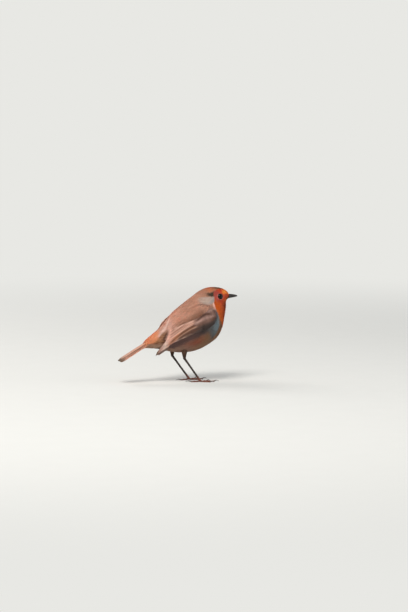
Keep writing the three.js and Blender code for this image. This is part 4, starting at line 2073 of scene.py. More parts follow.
@dataclass
class Eye:
    """An eye with its clear bulge, and the lids round it.

    Attributes:
        lid: The lids' section, from the lip outwards and back beneath: the distance from where it
            looks, the height, and 0 where that is over the ball or 1 where it is over the head.
        pale: How pale the lids are at each point of the section.
    """

    side: Side
    bulge: float = 0.14
    slant: float = 0.03
    lid: Array = held(np.array([
        [2.60, 0.02, 0], [2.54, 0.10, 0], [2.62, 0.20, 0], [2.74, 0.20, 0.6], [2.86, 0.15, 1],
        [3.0, 0.05, 1], [3.3, -0.12, 1], [4.0, -0.45, 1], [3.3, -0.9, 1], [2.8, -0.3, 0],
    ]))
    pale: Array = held(np.array([0, 0, 0, 0.25, 1, 0.6, 0, 0, 0, 0]))
    iris: Array = held(srgb(22, 13, 8))
    pupil: Array = held(srgb(5, 4, 4))
    rim: Array = held(srgb(38, 26, 22))
    ring: Array = held(srgb(204, 128, 108))

    def __post_init__(self) -> None:
        """Works out the eye's own directions."""
        self.ahead = unit(EYE_LOOK)
        self.across = unit(np.cross([0.0, 0.0, 1.0], self.ahead))
        self.up = np.cross(self.ahead, self.across)

    def turned(self, rings: Array) -> Array:
        """Rings turned so that Z points where the eye looks, and set in the head.

        Args:
            rings: Points drawn round Z.

        Returns:
            The points in place.
        """
        x, y, z = np.split(rings, 3, -1)
        placed = x * self.across + y * self.up + z * self.ahead
        return (placed + EYE_CENTRE) * [1, self.side.value, 1]

    def head_height(self, off: Array) -> Array:
        """How far ahead of the eye's centre the head's surface lies.

        The height is put right, six times, by what it misses the head's half width.

        Args:
            off: Offsets from the line of sight.

        Returns:
            The heights.
        """
        height = np.full(off.shape[:-1], 2.2)
        for _ in range(6):
            place = EYE_CENTRE + off + height[..., None] * self.ahead
            missed = Body.half_width(place[..., 0], place[..., 2]) - place[..., 1]
            height = height + missed / self.ahead[1]
        return height

    def ball(self) -> Shell:
        """The eyeball: a sphere with a low bell-shaped bulge over the iris.

        Returns:
            The ball.
        """
        down, turn = np.linspace(0.02, math.pi - 0.02, 40), TURN * np.arange(40) / 40
        down, turn = np.meshgrid(down, turn, indexing="ij")
        radius = EYE_RADIUS + self.bulge * bell(down / 0.55)
        wide = radius * np.sin(down)
        rings = np.stack([wide * np.cos(turn), wide * np.sin(turn), radius * np.cos(down)], -1)
        tint = lerp(self.pupil, self.iris, ease(0.42, 0.5, down)[..., None])
        return tube(self.turned(rings), tint=tint)

    def lids(self) -> Shell:
        """The lids: a ring whose lip hugs the ball and whose skirt lies on the head, paler below.

        Returns:
            The ring.
        """
        sides, count = 64, len(self.lid)
        turn = TURN * np.arange(sides) / sides
        reach = self.lid[:, :1] * (1 + self.slant * np.cos(2 * turn))
        x, y = reach * np.cos(turn), reach * np.sin(turn)
        on_ball = np.sqrt(EYE_RADIUS**2 - np.minimum(reach, EYE_RADIUS - 0.1) ** 2)
        on_head = self.head_height(x[..., None] * self.across + y[..., None] * self.up)
        ring = np.stack([x, y, lerp(on_ball, on_head, self.lid[:, 2:]) + self.lid[:, 1:2]], -1)
        pale = self.pale[:, None] * lerp(1.0, 0.35, ease(-0.2, 0.6, np.sin(turn)))
        tint = lerp(self.rim, self.ring, pale[..., None])
        tint = lerp(tint, CHEEK, ease(2.92, 3.05, reach)[..., None])
        faces, corner = sheet(count, sides, closed=True)
        chart = corner[..., ::-1] / [sides, count]
        carried = {"tint": tint.reshape(-1, 3), "seam": np.zeros(count * sides)}
        return Shell(self.turned(ring).reshape(-1, 3), [faces], [chart], carried).outward()

    def build(self) -> None:
        """Makes the ball and the lids."""
        side = self.side.word
        self.ball().piece(f"eyeball_{side}", EyeFinish(), Slot.EYE, [f"eye_{side}"])
        self.lids().piece(f"eyelids_{side}", ScaleFinish(), Slot.BODY)


# Wings and tail


@dataclass(frozen=True)
class Dye:
    """The colours of a vane.

    Attributes:
        body: Most of it.
        lead: Its leading margin.
        trail: Its trailing margin.
        tip: Its tip.
        shaft: Its shaft.
        lead_wide: The leading margin's share of that side's width.
        trail_wide: The same of the trailing margin.
        tip_long: The tip's share of the length.
    """

    body: Array
    lead: Array
    trail: Array
    tip: Array
    shaft: Array
    lead_wide: float = 0.35
    trail_wide: float = 0.25
    tip_long: float = 0.1

    def tint(self, along: Array, across: Array) -> Array:
        """The colour at places on the vane: margins blend in from the edges, then tip and shaft.

        Args:
            along: Shares of the length.
            across: Shares of the half width, below 0 towards the leading edge.

        Returns:
            The colours.
        """
        lead = ease(-1 + self.lead_wide, -1 + self.lead_wide * 0.3, across)
        trail = ease(1 - self.trail_wide, 1 - self.trail_wide * 0.3, across)
        tip, shaft = ease(1 - self.tip_long, 1, along), ease(0.09, 0.03, np.abs(across)) * 0.8
        colour = self.body
        overs = (self.lead, self.trail, self.tip, self.shaft)
        for over, share in zip(overs, (lead, trail, tip, shaft)):
            colour = lerp(colour, over, share[..., None])
        return colour


VANE_ACROSS = np.array([-1, -0.82, -0.55, -0.25, -0.06, 0, 0.06, 0.25, 0.55, 0.82, 1])
VANE_ROUND = np.concatenate([VANE_ACROSS, VANE_ACROSS[-2:0:-1]])


def spread(lead: Array, trail: Array) -> Array:
    """How far the points round a vane stand from its shaft, for the widths of its two sides."""
    return np.where(VANE_ROUND < 0, lead[:, None], trail[:, None]) * VANE_ROUND


def vane(
    rings: Array, outward: Array, dye: Dye, camber: float, cell: Cell, thick: float, quill: float,
    tone: float,
) -> Shell:
    """A closed vane round its shaft.

    Across runs from -1 at the leading edge to 1 at the trailing edge. A point drops by camber times
    across squared, and the shaft stands proud. The underside mirrors it by the thickness, which
    goes to nothing at the edges.

    Args:
        rings: Where it is laid: for each step along the shaft, the points round it.
        outward: For each, the unit normal.
        dye: Its colours.
        camber: How far the edges drop, in millimetres.
        cell: Its patch of the baking map.
        thick: The thickness at the shaft.
        quill: How proud the shaft stands.
        tone: How light it is, near 1.

    Returns:
        The vane.
    """
    across = np.broadcast_to(VANE_ROUND, rings.shape[:2])
    upper = np.concatenate([np.ones(len(VANE_ACROSS)), np.zeros(len(VANE_ACROSS) - 2)])
    height = -camber * across**2 + quill * ease(0.12, 0.0, np.abs(across)) * (upper * 2 - 1)
    height = height - (1 - upper) * thick * (1 - np.abs(across) ** 3)
    along = np.broadcast_to(np.linspace(0, 1, len(rings))[:, None], across.shape)
    points, tone = rings + outward * height[..., None], np.full(across.shape, tone)
    return tube(points, cell, along=along, across=across, tone=tone, tint=dye.tint(along, across))


@dataclass(frozen=True)
class Row:
    """A row of wing feathers, from its first to its last, each value blended between the two.

    Attributes:
        name: What the feathers are.
        count: How many.
        roots: Reach and rise of the first and last root.
        middles: Reach and rise that the shaft passes half-way.
        tips: Reach and rise of the tips, of each feather or of the first and last.
        wide: Widths of the first and last.
        level: How far below the wing's outer face the first and last lie.
        dye: Their colours.
        lead: The leading side's share of the width.
        blunt: The share of the length where the tip begins to round off.
        quill: How proud the shafts stand.
        loose: How far the tips stray, in reach.
    """

    name: str
    count: int
    roots: tuple[tuple[float, float], ...]
    middles: tuple[tuple[float, float], ...]
    tips: tuple[tuple[float, float], ...]
    wide: tuple[float, float]
    level: tuple[float, float]
    dye: Dye
    lead: float = 0.35
    blunt: float = 0.86
    quill: float = 0.06
    loose: float = 0.0

    def blended(self, values: Sequence[Sequence[float]] | Sequence[float]) -> Array:
        """Values for each feather, from a short list of them.

        Args:
            values: The list, from the first feather to the last.

        Returns:
            A row of values for each feather.
        """
        given = np.array(values, float).reshape(len(values), -1)
        place = np.linspace(0, len(given) - 1, self.count)
        return np.stack([np.interp(place, np.arange(len(given)), column) for column in given.T], 1)


DARK_BROWN, DARK_SLATE, SHAFT = srgb(120, 80, 62), srgb(80, 66, 66), srgb(96, 66, 54)
PRIMARY = Dye(
    srgb(150, 118, 106), srgb(196, 166, 152), srgb(136, 104, 92), srgb(140, 118, 100), SHAFT,
    0.5, 0.2, 0.08,
)
SECONDARY = Dye(
    DARK_BROWN, srgb(178, 118, 86), DARK_BROWN, srgb(222, 168, 150), SHAFT, 0.5, 0.2, 0.36,
)
TERTIAL = Dye(
    srgb(172, 122, 102), srgb(222, 178, 158), srgb(196, 148, 128), srgb(218, 166, 146),
    srgb(132, 92, 76), 0.3, 0.2, 0.2,
)
GREATER_COVERT = Dye(
    srgb(152, 112, 98), srgb(180, 138, 122), srgb(146, 106, 92), srgb(166, 124, 108), SHAFT,
    0.4, 0.3, 0.4,
)
# The hand coverts and alula: a darker slate of their own, deepened as painted shade on the wing's
# lower part, which turns down away from the light.
HAND_COVERT = Dye(DARK_SLATE, srgb(100, 84, 80), DARK_SLATE, DARK_SLATE, SHAFT, 0.3, 0.2, 0.1)
MEDIAN_COVERT = Dye(
    srgb(150, 112, 100), srgb(164, 126, 114), srgb(144, 106, 94), srgb(158, 120, 108), SHAFT,
    0.4, 0.3, 0.3,
)
TAIL_DYE = Dye(
    srgb(200, 156, 136), srgb(212, 166, 146), srgb(192, 146, 126), srgb(88, 72, 50),
    srgb(150, 108, 88), 0.3, 0.3, 0.3,
)

# The rows of a folded wing, from the lowest layer to the highest.
WING_ROWS = (
    Row(
        "primaries", 9, ((0.15, 0.06), (0.24, 0.24)), ((0.56, 0.02), (0.56, 0.24)),
        ((0.92, -0.06), (0.965, 0.12), (0.996, 0.40), (0.987, 0.58), (0.958, 0.66), (0.928, 0.71),
         (0.898, 0.75), (0.868, 0.78), (0.838, 0.79)),
        (5.0, 5.4), (-1.9, -1.3), PRIMARY, 0.34, 0.7,
    ),
    Row(
        "secondaries", 6, ((0.26, 0.26), (0.28, 0.48)), ((0.56, 0.26), (0.54, 0.47)),
        ((0.825, 0.58), (0.77, 0.80)), (5.2, 5.4), (-1.15, -0.7), SECONDARY, 0.28, 0.7,
    ),
    Row(
        "tertials", 4, ((0.27, 0.50), (0.27, 0.84)), ((0.50, 0.545), (0.47, 0.90)),
        ((0.75, 0.72), (0.735, 0.84), (0.715, 0.93), (0.69, 1.0)),
        (5.2, 4.8), (-0.45, -0.05), TERTIAL, 0.42, 0.68,
    ),
    Row(
        "primary_coverts", 8, ((0.08, 0.08), (0.14, 0.24)), ((0.22, 0.06), (0.27, 0.20)),
        ((0.38, 0.05), (0.42, 0.20)), (3.4, 3.8), (-1.0, -0.66), HAND_COVERT,
        0.35, 0.6, 0.03, 0.012,
    ),
    Row(
        "greater_coverts", 11, ((0.12, 0.24), (0.20, 0.80)), ((0.25, 0.27), (0.29, 0.74)),
        ((0.37, 0.30), (0.38, 0.70)), (3.6, 4.2), (-0.5, -0.16), GREATER_COVERT,
        0.42, 0.5, 0.03, 0.014,
    ),
    Row(
        "alula", 3, ((0.04, 0.12), (0.06, 0.24)), ((0.12, 0.08), (0.14, 0.20)),
        ((0.21, 0.06), (0.27, 0.18)), (3.2, 3.6), (-0.6, -0.45), HAND_COVERT, 0.35, 0.75,
    ),
    Row(
        "median_coverts", 11, ((0.10, 0.24), (0.15, 0.84)), ((0.18, 0.24), (0.23, 0.80)),
        ((0.26, 0.26), (0.30, 0.78)), (3.4, 4.2), (-0.3, -0.04), MEDIAN_COVERT,
        0.46, 0.4, 0.02, 0.012,
    ),
)


@dataclass(frozen=True)
class Mark:
    """A marking that runs across the wing's feathers, along a line.

    Attributes:
        reach: The reaches of its points, rising.
        rise: Their rises.
        wide: Its half width, in rise.
        colour: Its colour.
        strength: How much of its colour it gives at its middle.
        fade: How far, in reach, it takes to fade at each end.
    """

    reach: tuple[float, ...]
    rise: tuple[float, ...]
    wide: float
    colour: Array
    strength: float = 0.9
    fade: float = 0.025

    def share(self, reach: Array, rise: Array) -> Array:
        """Its strength at places on the wing: a bell across the line, flat-topped where it is wide.

        Args:
            reach: From 0 at the bend to 1 at the tip.
            rise: From 0 at the lower edge to 1 at the upper.

        Returns:
            Shares of its colour.
        """
        off = np.abs(rise - np.interp(reach, self.reach, self.rise)) / self.wide
        share = np.exp(-(off ** (2 if self.wide < 0.1 else 6)))
        first, last = self.reach[0], self.reach[-1]
        begun = ease(first - self.fade, first + self.fade, reach)
        ended = ease(last - self.fade, last + self.fade, reach)
        return share * begun * (1 - ended) * self.strength


# The wing's markings, some of them painted shade: first its broad zones, then the lines.
WING_MARKS = (
    Mark((0.14, 0.36), (0.55, 0.55), 0.55, srgb(148, 112, 98), 0.8, 0.04),
    Mark((0.26, 0.60), (0.22, 0.18), 0.17, srgb(104, 72, 58), 0.9, 0.05),
    # Dark along the wing's lower edge from the bend: the hand feathers' own dark, deepened as painted
    # shade.
    Mark((-0.1, 0.36), (0.0, 0.04), 0.24, srgb(64, 54, 50), 0.9, 0.08),
    Mark((0.64, 0.94), (0.5, 0.5), 0.9, srgb(206, 154, 136), 0.85, 0.07),
    Mark((0.60, 0.74), (0.30, 0.27), 0.12, srgb(168, 104, 74), 0.8, 0.05),
    Mark((0.76, 0.86), (0.30, 0.40), 0.45, srgb(210, 182, 168), 0.85, 0.04),
    Mark((0.87, 0.93), (0.5, 0.5), 0.9, srgb(166, 134, 122), 0.9, 0.03),
    Mark((0.945, 1.3), (0.5, 0.5), 1.5, srgb(106, 88, 68), 0.9, 0.03),
    # A dark line along the lower edge towards the tip: the outer primary's own dark, deepened as
    # painted shade.
    Mark((0.50, 0.70, 0.76, 0.82, 0.88, 0.97), (-0.16, -0.12, 0.0, 0.07, 0.17, 0.34),
         0.16, srgb(88, 66, 56), 0.88, 0.04),
    # The bend's front rim, dark as painted shade, like the body just ahead of it.
    Mark((-0.2, 0.06), (0.6, 0.6), 0.62, srgb(84, 74, 76), 0.9, 0.035),
    Mark((0.05, 0.09, 0.13), (0.14, 0.14, 0.16), 0.09, srgb(112, 106, 104), 0.7),
    Mark((0.08, 0.12, 0.16, 0.20), (0.97, 0.86, 0.74, 0.68), 0.06, srgb(186, 152, 140), 0.8),
    Mark((0.12, 0.18, 0.24, 0.30, 0.36), (0.49, 0.45, 0.46, 0.44, 0.42),
         0.055, srgb(186, 148, 136), 0.85),
    # Painted shade in the gap under the scapulars' lower edge.
    Mark((0.17, 0.21, 0.26, 0.30, 0.34), (0.57, 0.60, 0.57, 0.52, 0.50),
         0.045, srgb(84, 52, 40), 0.95),
    Mark((0.13, 0.16), (0.32, 0.30), 0.06, srgb(96, 58, 34), 0.9),
    Mark((0.38, 0.42, 0.46, 0.50, 0.54, 0.58, 0.62, 0.66),
         (0.64, 0.68, 0.70, 0.74, 0.79, 0.82, 0.86, 0.9), 0.04, srgb(160, 112, 92), 0.6),
    Mark((0.38, 0.42, 0.46, 0.50, 0.54, 0.58, 0.62), (0.56, 0.59, 0.62, 0.66, 0.70, 0.74, 0.79),
         0.03, srgb(220, 175, 156), 0.75),
    Mark((0.45, 0.54, 0.58, 0.62, 0.66, 0.70), (0.56, 0.60, 0.62, 0.65, 0.69, 0.75),
         0.03, srgb(168, 118, 98), 0.75),
    Mark((0.37, 0.58, 0.66, 0.74), (0.50, 0.50, 0.51, 0.56), 0.03, srgb(226, 176, 154), 0.75),
    Mark((0.37, 0.46, 0.56, 0.62, 0.70), (0.36, 0.345, 0.35, 0.35, 0.30),
         0.05, srgb(112, 70, 50), 0.95),
    Mark((0.56, 0.62, 0.68), (0.42, 0.43, 0.42), 0.035, srgb(212, 142, 108), 0.8),
    Mark((0.58, 0.64), (0.36, 0.33), 0.04, srgb(166, 104, 66), 0.8),
    Mark((0.34, 0.43, 0.50, 0.56, 0.64), (0.29, 0.29, 0.28, 0.27, 0.24),
         0.026, srgb(196, 150, 124), 0.7),
    Mark((0.46, 0.55, 0.62), (0.85, 0.82, 0.82), 0.03, srgb(224, 180, 162), 0.7),
    Mark((0.30, 0.46, 0.58), (0.18, 0.185, 0.19), 0.03, srgb(90, 56, 42), 0.9),
    Mark((0.50, 0.54, 0.59, 0.69, 0.75, 0.82), (0.08, 0.06, 0.04, 0.05, 0.14, 0.2),
         0.035, srgb(220, 180, 156), 0.85),
    # Painted shadow at the wing's rear edge, over the hollow behind it.
    Mark((0.72, 0.76, 0.80, 0.86), (1.06, 1.02, 0.98, 1.02), 0.16, srgb(98, 66, 50), 0.85),
)
# More of them on the left wing alone, whose upper edge shows over the rump.
LEFT_MARKS = (
    Mark((0.56, 0.78), (0.86, 0.87), 0.04, srgb(104, 70, 58), 0.9),
    Mark((0.58, 0.80), (1.0, 1.0), 0.08, srgb(228, 190, 162), 0.85),
)


@dataclass
class Wing:
    """A folded wing: rows of flight feathers and coverts, and small coverts over the bend.

    Attributes:
        side: Its side.
        form: Its form.
        fields: Its form's fields.
        steps: The rings of a feather.
        shingle: How much lower a feather's trailing edge lies than its leading edge.
        upper_limit: The rise from which points are drawn in below the upper edge.
        small_count: How many small coverts it has.
        seed: The start of the random numbers.
        bend_colour: The small coverts' colour.
        low_colour: The same further down.
        hand_colour: The same along the lower edge, darker partly as painted shade.
    """

    side: Side
    form: WingForm
    fields: dict[str, Field]
    steps: int = 26
    shingle: float = 0.16
    upper_limit: float = 0.86
    small_count: int = 620
    seed: int = 23
    bend_colour: Array = held(srgb(152, 116, 104))
    low_colour: Array = held(srgb(118, 86, 74))
    hand_colour: Array = held(srgb(76, 64, 64))

    def marked(self, point: Array, tint: Array, shade: Array) -> Array:
        """Colours of the wing's points, with the marks that run across its feathers.

        Args:
            point: The points.
            tint: Their colours.
            shade: How light each is against its own feather, which a mark keeps.

        Returns:
            Their new colours.
        """
        reach = self.fields["reach"](point[:, 0], point[:, 2])
        rise = self.fields["rise"](point[:, 0], point[:, 2])
        for mark in WING_MARKS + (LEFT_MARKS if self.side is Side.LEFT else ()):
            tint = lerp(tint, mark.colour * shade[:, None], mark.share(reach, rise)[:, None])
        return tint

    def face(self, place: Array) -> tuple[Array, Array]:
        """The right wing's outer face, whose slopes are differences over a small step.

        Args:
            place: Places seen from the side, in X and Z.

        Returns:
            Its points and normals there.
        """
        out, step = self.fields["out"], 0.4
        x, z = place[..., 0], place[..., 1]
        here = out(x, z)
        slope_x = (out(x + step, z) - out(x - step, z)) / (2 * step)
        slope_z = (out(x, z + step) - out(x, z - step)) / (2 * step)
        normal = unit(np.stack([-slope_x, -np.ones_like(here), -slope_z], -1))
        return np.stack([x, -here, z], -1), normal

    def kept(self, place: Array) -> Array:
        """Places drawn in so that none lies over the wing's upper edge.

        With u the share by which a rise passes the limit, of what is left up to 1, the new rise
        passes it by 1 - e to the minus u of that.

        Args:
            place: Places seen from the side.

        Returns:
            The new places.
        """
        reach = self.fields["reach"](place[..., 0], place[..., 1])
        low, high = self.form.seen(reach, 0.0), self.form.seen(reach, 1.0)
        span = high - low
        rise = np.sum((place - low) * span, -1) / np.maximum(np.sum(span**2, -1), 1e-6)
        spare = 1 - self.upper_limit
        over = np.maximum(rise - self.upper_limit, 0)
        drawn = self.upper_limit + spare * (1 - np.exp(-over / spare)) - rise
        drawn = np.where(over > 0, drawn, 0) * ease(0.9, 0.8, reach)
        return place + drawn[..., None] * span

    def feather(
        self, row: Row, shape: Sequence[Array], wide: float, level: float, cell: Cell,
        rng: np.random.Generator,
    ) -> Shell:
        """One feather of a row, laid on the wing's face.

        Its shaft is a parabola seen from the side, through its root, middle and tip. The width
        swells evenly from the root and rounds off to the tip.

        Args:
            row: Its row.
            shape: Reach and rise of its root, its middle and its tip.
            wide: Its width.
            level: How far below the wing's outer face it lies.
            cell: Its patch of the baking map.
            rng: The source of chance.

        Returns:
            The feather.
        """
        root, half_way, tip = (self.form.seen(np.array(p[0]), np.array(p[1])) for p in shape)
        bend = 2 * half_way - (root + tip) / 2
        share = 1 - (1 - np.linspace(0, 1, self.steps)) ** 1.35
        t = share[:, None]
        seen = (1 - t) ** 2 * root + 2 * t * (1 - t) * bend + t * t * tip
        run = unit(np.gradient(seen, axis=0))
        off = np.stack([-run[:, 1], run[:, 0]], 1)
        upwards = self.form.seen(0.5, 1.0) - self.form.seen(0.5, 0.0)
        off = off * np.sign(np.sum(off * upwards, 1))[:, None]
        end = np.clip(share - row.blunt, 0, 1) / (1 - row.blunt)
        wide = wide * np.minimum(1, 0.35 + 2.6 * share) * np.sqrt(np.clip(1 - end**1.8, 0.0004, 1))
        fray = 1 + rng.normal(0, 0.012, self.steps)
        stands = spread(wide * row.lead, wide * (1 - row.lead) * fray)
        seen = self.kept(seen[:, None] + off[:, None] * stands[..., None])
        rings, normal = self.face(seen)
        sink = level - 0.35 * (1 - t) ** 2 - self.shingle * (VANE_ROUND + 1) / 2
        rings = rings + normal * sink[..., None]
        made = vane(rings, normal, row.dye, 0.02, cell, 0.07, row.quill, rng.normal(1, 0.03))
        light = made.carried["tint"].mean(1) / row.dye.body.mean()
        made.carried["shade"] = np.clip(light, 0.6, 1.6) ** 0.7 * rng.normal(1, 0.04)
        return made

    def small_coverts(self, rng: np.random.Generator) -> Shell:
        """The little coverts over the bend, laid like the coat on the wing's face.

        Args:
            rng: The source of chance.

        Returns:
            The coverts.
        """
        count, tuft = self.small_count, FRAYED
        first, second = scattered(count)
        reach, rise = 0.003 + 0.22 * first, 0.01 + 0.98 * second
        ahead = self.form.seen(reach + 0.03, rise) - self.form.seen(reach, rise)
        lean = rng.normal(0, 0.08, count)
        backwards = unit(self.form.seen(0.6, 0.6) - self.form.seen(0.1, 0.6))
        way = unit(unit(ahead) + 0.8 * backwards)
        way = np.stack([way[:, 0] - lean * way[:, 1], way[:, 1] + lean * way[:, 0]], 1)
        off = np.stack([-way[:, 1], way[:, 0]], 1)
        length = lerp(2.8, 4.8, ease(0, 0.2, reach)) * rng.uniform(0.85, 1.15, count)
        half = length * 0.24
        seen = self.form.seen(reach, rise)[:, None]
        seen = seen + way[:, None] * (length[:, None] * tuft.along)[..., None]
        seen = seen + off[:, None] * (half[:, None] * tuft.across)[..., None]
        point, normal = self.face(seen)
        level = 0.10 - 0.6 * (1 - np.clip(tuft.along, 0, 1)) ** 1.4
        level = level - 0.1 * tuft.across**2 - 0.05 * tuft.under
        level = level[None] + rng.normal(0, 0.03, (count, 1)) * tuft.along
        point = point + normal * level[..., None]
        bands = 0.12 * np.cos((reach - 0.06 * rise) * 130) * ease(0.2, 0.4, rise)
        shade = 1 + bands + rng.normal(0, 0.06, count)
        tint = lerp(self.bend_colour, self.low_colour, ease(0.5, 0.3, rise)[:, None])
        tint = lerp(tint, self.hand_colour, ease(0.24, 0.1, rise)[:, None]) * shade[:, None]
        chart = np.stack([0.02 + 0.2 * rise, 0.9 + 0.36 * reach], -1)
        tone = rng.normal(1, 0.03, count)
        return tuft.shell(point, chart, tone=tone, tint=tint, shade=shade).outward()

    def build(self) -> None:
        """Makes the wing one piece, on its own side."""
        rng = np.random.default_rng(self.seed)
        shells, number = [], 0
        for row in WING_ROWS:
            roots, middles, tips = (row.blended(v) for v in (row.roots, row.middles, row.tips))
            tips = tips + rng.normal(0, 1, (row.count, 1)) * [row.loose, 0]
            wide, level = row.blended(row.wide)[:, 0], row.blended(row.level)[:, 0]
            for i in range(row.count):
                cell = (0.01 + 0.1 * (number % 10), 0.01 + 0.17 * (number // 10), 0.085, 0.155)
                number += 1
                shape = (roots[i], middles[i], tips[i])
                shells.append(self.feather(row, shape, wide[i], level[i], cell, rng))
        shells.append(self.small_coverts(rng))
        whole = Shell.joined(shells)
        shade = whole.carried.pop("shade")
        whole.carried["tint"] = self.marked(whole.points, whole.carried["tint"], shade)
        if self.side is Side.LEFT:
            whole = whole.mirrored()
        word = self.side.word
        whole.piece(f"wing_feathers_{word}", VaneFinish(), Slot.FLIGHT, [f"wing_{word}"])


@dataclass
class Tail:
    """The closed tail: six pairs of feathers, the middle pair on top and each next one lower.

    Attributes:
        base: The X and Z where its feathers start from.
        fall: The degrees by which it points down.
        length: The longest feather's length.
        hidden: How much of it is under the coverts.
        pairs: The number of pairs.
        width: A feather's width near its end.
        narrow: Its share of that at the root.
        drop: How much lower each pair lies than the last.
        spread: How much further from the middle.
        fan: How many degrees further it is turned out.
        notch: How much shorter a pair is for each place from the longest.
        steps: The rings of a feather.
        seed: The start of the random numbers.
        root_colour: What the feathers warm to at their roots.
    """

    base: tuple[float, float] = (-10.3, 52.0)
    fall: float = 30.0
    length: float = 58.6
    hidden: float = 22.0
    pairs: int = 6
    width: float = 7.8
    narrow: float = 0.84
    drop: float = 0.38
    spread: float = 0.12
    fan: float = 0.62
    notch: float = 0.35
    steps: int = 34
    seed: int = 31
    root_colour: Array = held(srgb(214, 148, 114))

    def set_down(self, x: Array, y: Array, z: Array) -> Array:
        """Places of the tail, turned down by its fall and set on the bird.

        Args:
            x: Along the tail, from its base.
            y: Across it, to the bird's right.
            z: Over it.

        Returns:
            The points.
        """
        cos, sin = math.cos(math.radians(self.fall)), math.sin(math.radians(self.fall))
        back, high = -x * cos - z * sin, -x * sin + z * cos
        return np.stack([self.base[0] + back, -y, self.base[1] + high], -1)

    def feather(self, pair: int, hand: int, rng: np.random.Generator) -> Shell:
        """A tail feather: straight, widest near its end, with its tip rounded off.

        Args:
            pair: Its pair, from 0 for the middle one.
            hand: -1 for one of the pair and 1 for the other.
            rng: The source of chance.

        Returns:
            The feather.
        """
        share = 1 - (1 - np.linspace(0, 1, self.steps)) ** 1.4
        far = lerp(self.hidden - 5, self.length, share)
        whole = far / self.length
        half = self.width / 2 * lerp(self.narrow, 1, ease(0.35, 0.75, whole))
        end = np.clip((whole - 0.9) / 0.1, 0, 1)
        half = half * np.sqrt(np.clip(1 - end**2.4, 0.0006, 1))
        slide = (-self.notch * abs(pair - self.pairs / 2 + 0.5), hand * self.spread * (pair + 0.7))
        turn = hand * math.radians(self.fan) * (pair + 0.3)
        x, y = far + slide[0], np.full(self.steps, slide[1])
        x, y = x * math.cos(turn) - y * math.sin(turn), x * math.sin(turn) + y * math.cos(turn)
        down = -self.drop * (pair + (0.5 if hand > 0 else 0)) + 0.45 - 0.25 * whole
        middle, normal = self.set_down(x, y, down), self.set_down(0, 0, 1) - self.set_down(0, 0, 0)
        trail = unit(np.cross(unit(np.gradient(middle, axis=0)), normal))
        trail = trail * np.sign(hand * trail[:, 1:2])
        place = pair / (self.pairs - 1)
        lead = 0.5 if pair == 0 else lerp(0.45, 0.25, place)
        cell = (0.02 + 0.16 * pair, 0.02 + (0.5 if hand > 0 else 0), 0.14, 0.46)
        fray = 1 + rng.normal(0, 0.01, self.steps)
        stands = spread(2 * half * lead, 2 * half * (1 - lead) * fray)
        stands = stands - ((1 - 2 * lead) * half)[:, None]
        rings = middle[:, None] + trail[:, None] * stands[..., None]
        # Painted light: pair by pair outwards the feathers are made lighter, from 0.94 to 1.32,
        # against the shade on the lower ones; the small random spread is their own tone.
        tone = rng.normal(1, 0.02) * lerp(0.94, 1.32, place)
        normal = np.broadcast_to(normal, rings.shape)
        made = vane(rings, normal, TAIL_DYE, 0.25, cell, 0.16, 0.09, tone)
        warm = ease(0.95, 0.1, made.carried["along"])[:, None]
        made.carried["tint"] = lerp(made.carried["tint"], self.root_colour, warm * 0.6)
        return made

    def build(self) -> None:
        """Makes the tail one piece."""
        rng = np.random.default_rng(self.seed)
        shells = [self.feather(pair, hand, rng) for pair in range(self.pairs) for hand in (-1, 1)]
        Shell.joined(shells).piece("tail_feathers", VaneFinish(), Slot.FLIGHT, ["tail"])


# The studio


